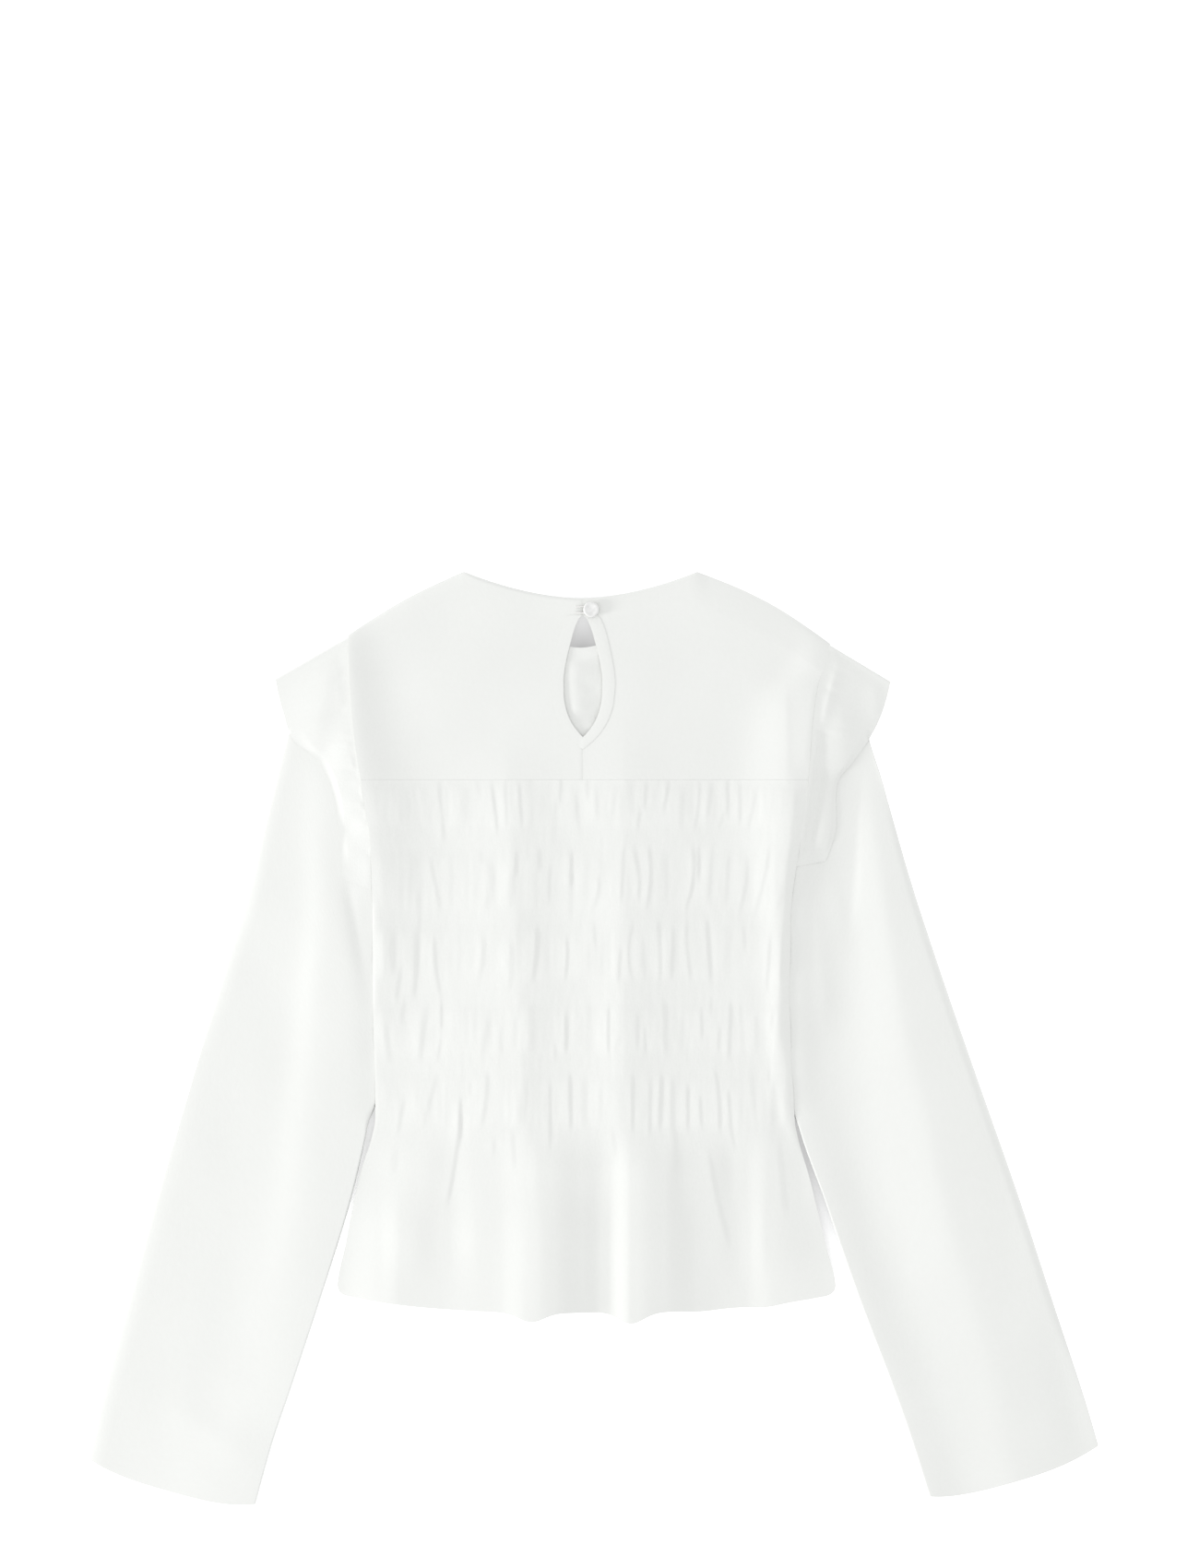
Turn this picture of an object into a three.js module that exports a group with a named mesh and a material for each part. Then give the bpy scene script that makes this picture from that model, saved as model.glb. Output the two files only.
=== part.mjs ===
// A long-sleeved blouse laid flat on its front, so that its back shows.
// Millimetres. +Y runs to the neck, +X to the wearer's right, +Z up off the surface it lies on.
// Places are given as a tailor takes them: `drop` down from the high shoulder point,
// `out` sideways from the centre line of the body.
import * as THREE from 'three';

// Driving sizes
const wall = 1.4;              // cloth with its turnings
const seamGap = 0.3;           // pieces stand this far apart where they are sewn
const yokeDrop = 153;          // high shoulder point to the seam under the yoke
const waistDrop = 411;         // high shoulder point to the lowest row of elastic
const neckHalfWidth = 86;      // centre line to the high shoulder point
const neckOffset = -2;         // the neck lies this far to the left of the centre line
const backNeckDrop = 19.5;     // depth of the back neckline
const frontNeckDrop = 56;      // depth of the front neckline
const keyholeTop = 32;         // drops of the keyhole's two points
const keyholeBottom = 122;
const keyholeHalfWidth = 15;
const bindingWidth = 8;        // turned edge round the keyhole
const bindingWall = 1;
const frontInset = 1;          // the front's edges lie this far inside the back's
const loft = 2.4;              // air held under the middle of the back
const loftFrom = 30;           // drops between which the air grows below the neck
const loftFull = 90;
const loftFade = 60;           // how far below the waist it is pressed out again
const hemDrop = 531;           // at the two side seams
const hemSag = 13;             // the hem hangs lower in the middle
const sleeveWall = 1.4;
const sidePuff = 0.8;          // how far the puffed rows stand out at the side edges
const headGap = 1.4;           // room for the turnings between the armhole and the sleeve head
const cuffBow = 8;             // how far the cuff edge bows down between its corners

// Heights of the layers
const frontTop = wall;
const backUnder = frontTop + seamGap;
const capRise = wall + seamGap; // the sleeve head lies on the front half of the frill
const capThickness = 3.4;       // flattened sleeve head, both walls
const sleeveThickness = 4.6;

// Armhole seam, from the shoulder to the underarm
const armhole = {
  left: [
    { drop: 46.5, out: 172.5 },
    { drop: 85, out: 171 },
    { drop: 120, out: 168 },
    { drop: 153, out: 163 },
    { drop: 194, out: 156.5 },
    { drop: 240, out: 154.5 },
  ],
  right: [
    { drop: 53, out: 182 },
    { drop: 85, out: 173.5 },
    { drop: 115, out: 169.5 },
    { drop: 153, out: 166.5 },
    { drop: 194, out: 160.5 },
    { drop: 240, out: 153.5 },
  ],
};

// Side edges of the body, from the yoke seam to the hem
const bodySides = [
  { drop: 153, left: 163, right: 166.5 },
  { drop: 194, left: 156.5, right: 160.5 },
  { drop: 240, left: 154.5, right: 153.5 },
  { drop: 326, left: 154, right: 152 },
  { drop: 395, left: 152.5, right: 155 },
  { drop: 411, left: 153, right: 157 },
  { drop: 482, left: 172, right: 179.5 },
  { drop: 531, left: 180.5, right: 185.5 },
];

// Rows of gathers: where each puffed row starts and ends, and how proud it stands
const shirring = [
  { start: 155, end: 187, height: 2.2 },
  { start: 207, end: 248, height: 2.6 },
  { start: 261, end: 299, height: 2.6 },
  { start: 319, end: 353, height: 2.5 },
  { start: 370, end: 407, height: 2.3 },
];
const gathersAcross = 23;
const elasticHeight = 0.35;    // how proud the narrow elastic rows stand

// Flutes of the peplum: places are shares of the width from the left side seam, dip is how far
// the hem hangs down at the flute
const flutes = [
  { waist: 0.105, hem: 0.11, spread: 0.055, height: 5.5, dip: 0 },
  { waist: 0.247, hem: 0.276, spread: 0.035, height: 2.5, dip: 0 },
  { waist: 0.335, hem: 0.39, spread: 0.04, height: 6, dip: 6.5 },
  { waist: 0.565, hem: 0.59, spread: 0.045, height: 8, dip: 8 },
  { waist: 0.72, hem: 0.73, spread: 0.03, height: 2, dip: 1 },
  { waist: 0.871, hem: 0.861, spread: 0.045, height: 6, dip: 1.5 },
];

// Sleeves, from the armhole to the cuff: the outer (upper) edge, the inner (underarm) edge,
// and the long soft ridge, as a share of the width from the outer edge
const sleeves = {
  left: [
    { outerOut: 173.5, outerDrop: 57, innerOut: 155.5, innerDrop: 236, ridgeAt: 0.4, ridge: 0 },
    { outerOut: 202, outerDrop: 85, innerOut: 155.8, innerDrop: 250, ridgeAt: 0.4, ridge: 0 },
    { outerOut: 215, outerDrop: 116, innerOut: 155.8, innerDrop: 266, ridgeAt: 0.38, ridge: 0.4 },
    { outerOut: 225.5, outerDrop: 156, innerOut: 155.8, innerDrop: 292, ridgeAt: 0.37, ridge: 1.2 },
    { outerOut: 242.5, outerDrop: 224, innerOut: 155.5, innerDrop: 333, ridgeAt: 0.48, ridge: 2.2 },
    { outerOut: 263, outerDrop: 292, innerOut: 155, innerDrop: 387, ridgeAt: 0.51, ridge: 2.4 },
    { outerOut: 287, outerDrop: 373.5, innerOut: 167.5, innerDrop: 455, ridgeAt: 0.56, ridge: 2.4 },
    { outerOut: 313, outerDrop: 462, innerOut: 189.5, innerDrop: 525, ridgeAt: 0.7, ridge: 2.2 },
    { outerOut: 335.5, outerDrop: 543, innerOut: 212, innerDrop: 594, ridgeAt: 0.8, ridge: 2 },
    { outerOut: 353, outerDrop: 604, innerOut: 227.5, innerDrop: 640, ridgeAt: 0.8, ridge: 1.6 },
    { outerOut: 364, outerDrop: 652, innerOut: 240, innerDrop: 685, ridgeAt: 0.78, ridge: 1.2 },
  ],
  right: [
    { outerOut: 183, outerDrop: 61, innerOut: 154, innerDrop: 248, ridgeAt: 0.3, ridge: 0 },
    { outerOut: 205, outerDrop: 92, innerOut: 154.8, innerDrop: 258, ridgeAt: 0.3, ridge: 0 },
    { outerOut: 210.5, outerDrop: 124, innerOut: 154.8, innerDrop: 272, ridgeAt: 0.25, ridge: 0.4 },
    { outerOut: 221.5, outerDrop: 160, innerOut: 154.5, innerDrop: 299, ridgeAt: 0.25, ridge: 1.2 },
    { outerOut: 241, outerDrop: 227.5, innerOut: 154, innerDrop: 340, ridgeAt: 0.25, ridge: 2.4 },
    { outerOut: 264, outerDrop: 297.5, innerOut: 158.5, innerDrop: 397, ridgeAt: 0.28, ridge: 2.4 },
    { outerOut: 289, outerDrop: 370, innerOut: 178.5, innerDrop: 465, ridgeAt: 0.33, ridge: 2.4 },
    { outerOut: 320.5, outerDrop: 460, innerOut: 202, innerDrop: 533, ridgeAt: 0.43, ridge: 2.4 },
    { outerOut: 347.5, outerDrop: 543, innerOut: 224, innerDrop: 591, ridgeAt: 0.5, ridge: 2.2 },
    { outerOut: 368, outerDrop: 605.5, innerOut: 239, innerDrop: 633, ridgeAt: 0.57, ridge: 1.8 },
    { outerOut: 379, outerDrop: 643, innerOut: 254, innerDrop: 680, ridgeAt: 0.6, ridge: 1.4 },
  ],
};

// Frills, from the fold on the shoulder down the armhole: the free edge, and how high it rolls
const frills = {
  left: [
    { rootDrop: 46.5, freeOut: 227, freeDrop: 78.5, roll: 1 },
    { rootDrop: 85, freeOut: 220.5, freeDrop: 103, roll: 5 },
    { rootDrop: 115, freeOut: 213, freeDrop: 124, roll: 6 },
    { rootDrop: 139, freeOut: 196, freeDrop: 138, roll: 6.5 },
    { rootDrop: 163, freeOut: 184, freeDrop: 161, roll: 6 },
    { rootDrop: 194, freeOut: 179, freeDrop: 193, roll: 5 },
    { rootDrop: 228, freeOut: 176.5, freeDrop: 228, roll: 3.5 },
  ],
  right: [
    { rootDrop: 53, freeOut: 227, freeDrop: 80.5, roll: 1 },
    { rootDrop: 85, freeOut: 219.5, freeDrop: 105, roll: 5 },
    { rootDrop: 115, freeOut: 210, freeDrop: 124, roll: 6.5 },
    { rootDrop: 141, freeOut: 198, freeDrop: 141, roll: 7 },
    { rootDrop: 163, freeOut: 187, freeDrop: 157, roll: 6 },
    { rootDrop: 192, freeOut: 186, freeDrop: 190, roll: 4 },
    { rootDrop: 217, freeOut: 178.5, freeDrop: 213, roll: 2.5 },
  ],
};

const cloth = { color: 0xf1f0ee, roughness: 0.85, metalness: 0 };
const { clamp, lerp, smoothstep } = THREE.MathUtils;

// A repeatable value between -1 and 1 for each whole number
function scatter(n) {
  const x = Math.sin(n * 12.9898) * 43758.5453;
  return 2 * (x - Math.floor(x)) - 1;
}

// A smooth reading between four values, a share f of the way from b to c
function between(a, b, c, d, f) {
  return b + 0.5 * f * (c - a + f * (2 * a - 5 * b + 4 * c - d + f * (3 * (b - c) + d - a)));
}

// A table's columns, t from 0 at its first row to 1 at its last
function readAlong(rows, t) {
  const span = (rows.length - 1) * clamp(t, 0, 1);
  const i = Math.min(Math.floor(span), rows.length - 2);
  const row = (k) => rows[clamp(k, 0, rows.length - 1)];
  const read = (key) => between(row(i - 1)[key], row(i)[key], row(i + 1)[key], row(i + 2)[key], span - i);
  return Object.fromEntries(Object.keys(rows[0]).map((key) => [key, read(key)]));
}

// A table's columns at a drop
function readAtDrop(rows, drop) {
  const last = rows.length - 2;
  const i = clamp(rows.findIndex((row) => row.drop > drop) - 1, 0, last);
  const segment = drop >= rows[rows.length - 1].drop ? last : i;
  const share = (drop - rows[segment].drop) / (rows[segment + 1].drop - rows[segment].drop);
  return readAlong(rows, (segment + share) / (rows.length - 1));
}

const sideSign = { left: -1, right: 1 };
const place = (out, drop, z) => new THREE.Vector3(out, -drop, z);
const armholeOut = (side, drop) => readAtDrop(armhole[side], drop).out;

// ---- Closed meshes from grids of points ----

function gridFaces(grid) {
  const faces = [];
  for (let i = 0; i + 1 < grid.length; i++) {
    for (let j = 0; j + 1 < grid[i].length; j++) {
      faces.push([grid[i][j], grid[i + 1][j], grid[i + 1][j + 1]]);
      faces.push([grid[i][j], grid[i + 1][j + 1], grid[i][j + 1]]);
    }
  }
  return faces;
}

// Joins two runs of points that may differ in number
function zip(a, b) {
  const faces = [];
  let i = 0;
  let j = 0;
  while (i + 1 < a.length || j + 1 < b.length) {
    const nextA = (i + 1) / (a.length - 1);
    const nextB = (j + 1) / (b.length - 1);
    if (nextA <= nextB) {
      faces.push([a[i], a[i + 1], b[j]]);
      i += 1;
    } else {
      faces.push([b[j + 1], b[j], a[i]]);
      j += 1;
    }
  }
  return faces;
}

const flipped = (faces) => faces.map(([a, b, c]) => [a, c, b]);

function signedVolume(points, faces) {
  const spare = new THREE.Vector3();
  return faces.reduce((sum, [a, b, c]) => sum + points[a].dot(spare.crossVectors(points[b], points[c])), 0);
}

function meshOf(name, points, faces, material = cloth) {
  const geometry = new THREE.BufferGeometry().setFromPoints(points);
  const outward = signedVolume(points, faces) > 0 ? faces : flipped(faces);
  geometry.setIndex(outward.flat());
  geometry.computeVertexNormals();
  const mesh = new THREE.Mesh(geometry, new THREE.MeshStandardMaterial(material));
  mesh.name = name;
  return mesh;
}

// A panel with an upper and an under face, closed along its four edges
function panel(name, upper, under) {
  const points = [];
  const number = (grid) => grid.map((row) => row.map((p) => points.push(p) - 1));
  const a = number(upper);
  const b = number(under);
  const edges = (grid) => [
    grid[0],
    grid.map((row) => row[row.length - 1]),
    [...grid[grid.length - 1]].reverse(),
    grid.map((row) => row[0]).reverse(),
  ];
  const faces = [...gridFaces(a), ...flipped(gridFaces(b))];
  const otherEdges = edges(b);
  edges(a).forEach((edge, k) => faces.push(...zip(edge, otherEdges[k])));
  return meshOf(name, points, faces);
}

// A tube with an outer and an inner face, open at both ends
function tube(name, outer, inner) {
  const points = [];
  const closeLoop = (loop) => [...loop, loop[0]];
  const number = (rings) => rings.map((ring) => closeLoop(ring.map((p) => points.push(p) - 1)));
  const a = number(outer);
  const b = number(inner);
  const ends = [
    zip(a[0], b[0]),
    zip([...a[a.length - 1]].reverse(), [...b[b.length - 1]].reverse()),
  ];
  return meshOf(name, points, [...gridFaces(a), ...flipped(gridFaces(b)), ...ends.flat()]);
}

// The two faces of a cloth, half its wall either side of its middle surface
function thicken(middle, thickness) {
  const at = (i, j) => middle[clamp(i, 0, middle.length - 1)][clamp(j, 0, middle[0].length - 1)];
  const face = (reach) => middle.map((row, i) => row.map((p, j) => {
    const along = new THREE.Vector3().subVectors(at(i + 1, j), at(i - 1, j));
    const across = new THREE.Vector3().subVectors(at(i, j + 1), at(i, j - 1));
    const normal = along.cross(across).normalize();
    return p.clone().addScaledVector(normal, reach);
  }));
  return [face(thickness / 2), face(-thickness / 2)];
}

// Points (rows + 1) by (columns + 1), each from its shares down and across
function grid(rows, columns, pointAt) {
  return Array.from({ length: rows + 1 }, (_, i) => (
    Array.from({ length: columns + 1 }, (_, j) => pointAt(i / rows, j / columns))
  ));
}

// A patch filled in between its four edges
function patch(top, bottom, start, end) {
  return (v, u) => {
    const straight = new THREE.Vector2().lerpVectors(top(u), bottom(u), v);
    const sideways = new THREE.Vector2().lerpVectors(start(v), end(v), u);
    const upperCorners = new THREE.Vector2().lerpVectors(top(0), top(1), u);
    const lowerCorners = new THREE.Vector2().lerpVectors(bottom(0), bottom(1), u);
    const corners = upperCorners.lerp(lowerCorners, v);
    return straight.add(sideways).sub(corners);
  };
}

// ---- Yokes ----

const shoulderBulge = { left: 3, right: 5 };   // how far the shoulder line bows up
const shoulderUp = { out: 0.5, drop: -0.87 };  // the way it bows, square to the slope of the shoulder
const neckRound = 1.75;                        // power of the neckline's curve: 2 is a parabola

// Half width of the body at a drop, on one side
function bodyHalf(side, drop) {
  if (drop < yokeDrop) {
    return armholeOut(side, Math.max(drop, armhole[side][0].drop));
  }
  return readAtDrop(bodySides, drop)[side];
}

// How far the back stands off the front: nothing at the edges, most in the middle
function airUnder(x, drop) {
  const share = clamp(Math.abs(x) / bodyHalf(x < 0 ? 'left' : 'right', drop), 0, 1);
  const fade = smoothstep(drop, loftFrom, loftFull) * (1 - smoothstep(drop, waistDrop, waistDrop + loftFade));
  return loft * (1 - share ** 4) * fade;
}

const neckEdge = (side) => sideSign[side] * neckHalfWidth + neckOffset;

// The shoulder line, from the neck (share 0) to the armhole (share 1)
function shoulderPoint(side, share, inset = 0) {
  const end = armhole[side][0];
  const x = lerp(neckEdge(side), sideSign[side] * (end.out - inset), share);
  const drop = end.drop * share;
  const bulge = shoulderBulge[side] * Math.sin(Math.PI * share);
  return new THREE.Vector2(x + sideSign[side] * shoulderUp.out * bulge, drop + shoulderUp.drop * bulge);
}

// A neckline of a given depth, from the left high point (share -1) to the right (share 1)
function necklinePoint(depth, share) {
  const x = neckOffset + neckHalfWidth * share;
  return new THREE.Vector2(x, depth * (1 - Math.abs(share) ** neckRound));
}

// The keyhole's half width from its upper point (share 0) to its lower one, widest below the middle
const keyholeSkew = 1.27;      // a power above 1 moves the widest place down
const keyholeShape = (share) => keyholeHalfWidth * (1 - (2 * share ** keyholeSkew - 1) ** 2);

function keyholeHalf(drop) {
  return keyholeShape(clamp((drop - keyholeTop) / (keyholeBottom - keyholeTop), 0, 1));
}

function frontYoke() {
  const shoulderShare = 0.3;
  const top = (u) => {
    if (u < shoulderShare) {
      return shoulderPoint('left', 1 - u / shoulderShare, frontInset);
    }
    if (u > 1 - shoulderShare) {
      return shoulderPoint('right', 1 - (1 - u) / shoulderShare, frontInset);
    }
    return necklinePoint(frontNeckDrop, (2 * u - 1) / (1 - 2 * shoulderShare));
  };
  const armSeam = (side, drop) => sideSign[side] * (bodyHalf(side, drop) - frontInset);
  const bottom = (u) => {
    const x = lerp(armSeam('left', yokeDrop), armSeam('right', yokeDrop), u);
    return new THREE.Vector2(x, yokeDrop);
  };
  const armSide = (side) => (v) => {
    const drop = lerp(armhole[side][0].drop, yokeDrop, v);
    return new THREE.Vector2(armSeam(side, drop), drop);
  };
  const plan = patch(top, bottom, armSide('left'), armSide('right'));
  const faceAt = (z) => grid(6, 20, (v, u) => {
    const p = plan(v, u);
    return place(p.x, p.y, z);
  });
  return panel('front_yoke', faceAt(frontTop), faceAt(0));
}

function backYoke(side) {
  const sign = sideSign[side];
  const highShare = 0.5;
  const neckCentre = -neckOffset / neckHalfWidth;
  const top = (u) => (u > highShare
    ? shoulderPoint(side, (u - highShare) / (1 - highShare))
    : necklinePoint(backNeckDrop, lerp(neckCentre, sign, u / highShare)));
  const centre = (v) => {
    const drop = lerp(backNeckDrop, yokeDrop, v);
    return new THREE.Vector2(sign * (seamGap / 2 + keyholeHalf(drop)), drop);
  };
  const bottom = (u) => new THREE.Vector2(sign * lerp(seamGap / 2, bodyHalf(side, yokeDrop), u), yokeDrop);
  const armSide = (v) => {
    const drop = lerp(armhole[side][0].drop, yokeDrop, v);
    return new THREE.Vector2(sign * armholeOut(side, drop), drop);
  };
  const plan = patch(top, bottom, centre, armSide);
  const faceAt = (z) => grid(14, 10, (v, u) => {
    const p = plan(v, u);
    return place(p.x, p.y, z + airUnder(p.x, p.y));
  });
  return panel(`back_yoke_${side}`, faceAt(backUnder + wall), faceAt(backUnder));
}

// The turned edge, down one side of the keyhole and up the other
function keyholeBinding() {
  const tail = 9;
  const openAtTop = 0.4;
  const middle = backUnder + wall + seamGap + bindingWall / 2;
  const strip = grid(28, 2, (v, reach) => {
    const share = 1 - Math.abs(2 * v - 1);
    const half = keyholeShape(share) + openAtTop * (1 - share) + reach * bindingWidth * (1 - share ** 4);
    const x = v < 0.5 ? -half : half;
    const drop = lerp(keyholeTop, keyholeBottom + reach * tail, share);
    return place(x, drop, middle + airUnder(x, drop));
  });
  return panel('keyhole_binding', ...thicken(strip, bindingWall));
}

// ---- Body ----

// Where each gather of a puffed row starts, as shares of the width
function gatherStarts(row) {
  const widths = Array.from({ length: gathersAcross }, (_, i) => 1 + 0.3 * scatter(7 * row + i));
  const total = widths.reduce((sum, width) => sum + width, 0);
  const starts = [0];
  widths.forEach((width, i) => starts.push(starts[i] + width / total));
  return starts;
}

// The round of one gather: its crease, its two flanks and its crown
const gatherRound = [
  { across: 0, height: 0 },
  { across: 0.22, height: 0.8 },
  { across: 0.5, height: 1 },
  { across: 0.78, height: 0.75 },
];

// Every column of a puffed row: its share of the width and its height, 0 in a crease and about 1 on a crown
function gatherColumns(row) {
  const starts = gatherStarts(row);
  const columns = [];
  for (let i = 0; i < gathersAcross; i++) {
    const crown = 1 + 0.3 * scatter(11 * row + 3 * i + 5);
    for (const { across, height } of gatherRound) {
      columns.push({ share: lerp(starts[i], starts[i + 1], across), height: height * crown });
    }
  }
  columns.push({ share: 1, height: 0 });
  return columns;
}

// Height of the flutes at a share of the width, down 0 at the waist and 1 at the hem
function fluteHeight(share, down) {
  const rise = smoothstep(down, 0, 0.8);
  return flutes.reduce((sum, flute) => {
    const off = (share - lerp(flute.waist, flute.hem, down)) / flute.spread;
    return sum + rise * flute.height * Math.exp(-off * off);
  }, 0);
}

// The hem hangs lower in the middle, and again where a flute reaches it
function hemAt(share) {
  const dipSpread = 0.035;
  const dips = flutes.reduce((sum, flute) => (
    sum + flute.dip * Math.exp(-(((share - flute.hem) / dipSpread) ** 2))
  ), 0);
  return hemDrop + hemSag * (1 - Math.abs(2 * share - 1) ** 3) + dips;
}

// A point of the body's inner face; puff widens the sides a little along a puffed row
function bodyPoint(share, drop, puff = 0) {
  const sides = readAtDrop(bodySides, Math.min(drop, hemDrop));
  const x = lerp(-sides.left - puff, sides.right + puff, share);
  const down = clamp((drop - waistDrop) / (hemDrop - waistDrop), 0, 1);
  return place(x, drop, backUnder + airUnder(x, drop) + fluteHeight(share, down));
}

function backBody() {
  const peplumRows = 7;
  const edgeFlat = 12;         // one over the share of the width in which the gathers start
  const tailHeight = 1.2;      // gathers running out below the last row
  const tailReach = 0.6;       // share of the peplum in which their columns even out
  const upper = [];
  const under = [];
  const addRow = (columns, dropAt, heightAt, puff) => upper.push(columns.map((column) => {
    const edge = Math.min(1, edgeFlat * column.share, edgeFlat * (1 - column.share));
    const p = bodyPoint(column.share, dropAt(column.share), puff);
    p.z += wall + heightAt(column.height) * edge;
    return p;
  }));
  const addUnder = (columns, dropAt) => under.push(
    columns.filter((_, j) => j % 2 === 0).map(({ share }) => bodyPoint(share, dropAt(share))),
  );

  shirring.forEach((band, k) => {
    const columns = gatherColumns(k);
    const first = k === 0 ? yokeDrop + seamGap : band.start;
    addRow(columns, () => first, (height) => elasticHeight * Math.min(1, height), 0);
    for (const share of [0.2, 0.8]) {
      const drop = lerp(band.start, band.end, share);
      addRow(columns, () => drop, (height) => band.height * height, sidePuff);
    }
    addRow(columns, () => band.end, (height) => elasticHeight * Math.min(1, height), 0);
    addUnder(columns, () => first);
    addUnder(columns, () => band.end);
  });

  const lastColumns = gatherColumns(shirring.length - 1);
  for (let i = 1; i <= peplumRows; i++) {
    const down = i / peplumRows;
    const columns = lastColumns.map((column, j) => ({
      share: lerp(column.share, j / (lastColumns.length - 1), smoothstep(down, 0, tailReach)),
      height: column.height,
    }));
    const dropAt = (share) => lerp(waistDrop, hemAt(share), down);
    addRow(columns, dropAt, (height) => tailHeight * height * (1 - down) ** 3, 0);
    addUnder(columns, dropAt);
  }
  return panel('back_body', upper, under);
}

function frontBody() {
  const faceAt = (z) => grid(14, 6, (v, u) => {
    const drop = lerp(yokeDrop + seamGap, hemDrop - frontInset, v);
    const sides = readAtDrop(bodySides, drop);
    return place(lerp(-sides.left + frontInset, sides.right - frontInset, u), drop, z);
  });
  return panel('front_body', faceAt(frontTop), faceAt(0));
}

// ---- Sleeves ----

const sleeveRounding = 4;      // how far in from its edge the flattened tube reaches its full height
const ridgeSpread = 0.16;      // share of the width that the long ridge spreads to either side
// Sections, counted in rows of the table, between which the sleeve changes
const headEnds = 3;            // the head follows the armhole as far as this
const fillFrom = 1;            // and is filled out from its pressed head between these
const fillFull = 3.5;
const settleFrom = 3.3;        // and comes down off the frill's front half between these
const settleFull = 5;
const cuffShare = 0.85;        // the cuff's bow starts here

// How full a flattened tube stands at a distance from its edge, 0 at the edge and 1 inside
function edgeRound(distance) {
  return distance >= sleeveRounding ? 1 : Math.sqrt(1 - (1 - distance / sleeveRounding) ** 2);
}

// One ring of a sleeve, its outer face (inset 0) or its inner face (inset one wall)
function sleeveRing(side, t, inset, topStops, underStops) {
  const row = readAlong(sleeves[side], t);
  const outer = new THREE.Vector2(row.outerOut, row.outerDrop);
  const inner = new THREE.Vector2(row.innerOut, row.innerDrop);
  const width = outer.distanceTo(inner);
  const section = t * (sleeves[side].length - 1);
  const head = Math.max(0, 1 - section / headEnds) ** 2;
  const cuff = smoothstep(t, cuffShare, 1);
  const base = capRise * (1 - smoothstep(section, settleFrom, settleFull));
  const half = lerp(capThickness, sleeveThickness, smoothstep(section, fillFrom, fillFull)) / 2;
  const first = sleeves[side][0];

  const pointAt = (share, isTop) => {
    const along = lerp(inset / width, 1 - inset / width, share);
    const flat = new THREE.Vector2().lerpVectors(outer, inner, along);
    const chord = lerp(first.outerOut, first.innerOut, along);
    const seam = armholeOut(side, lerp(first.outerDrop, first.innerDrop, along));
    const full = edgeRound(width * Math.min(share, 1 - share));
    const ridge = row.ridge * Math.exp(-(((along - row.ridgeAt) / ridgeSpread) ** 2));
    const up = isTop ? half - inset + ridge : inset - half;
    const out = flat.x + seamGap + head * (seam - chord + headGap);
    const drop = flat.y + cuff * cuffBow * (1 - Math.abs(2 * along - 1) ** 3);
    return place(sideSign[side] * out, drop, base + half + up * full);
  };
  return [
    ...topStops.map((share) => pointAt(share, true)),
    ...underStops.map((share) => pointAt(share, false)),
  ];
}

function sleeve(side) {
  const rings = (count, inset, topStops, underStops) => (
    Array.from({ length: count + 1 }, (_, i) => sleeveRing(side, i / count, inset, topStops, underStops))
  );
  const outer = rings(22, 0,
    [0, 0.004, 0.015, 0.08, 0.16, 0.25, 0.34, 0.43, 0.52, 0.61, 0.7, 0.8, 0.9, 0.985, 0.996, 1],
    [0.996, 0.985, 0.8, 0.6, 0.4, 0.2, 0.015, 0.004]);
  const inner = rings(11, sleeveWall, [0, 0.02, 0.25, 0.5, 0.75, 0.98, 1], [0.98, 0.5, 0.02]);
  return tube(`sleeve_${side}`, outer, inner);
}

// ---- Frills ----

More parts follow.
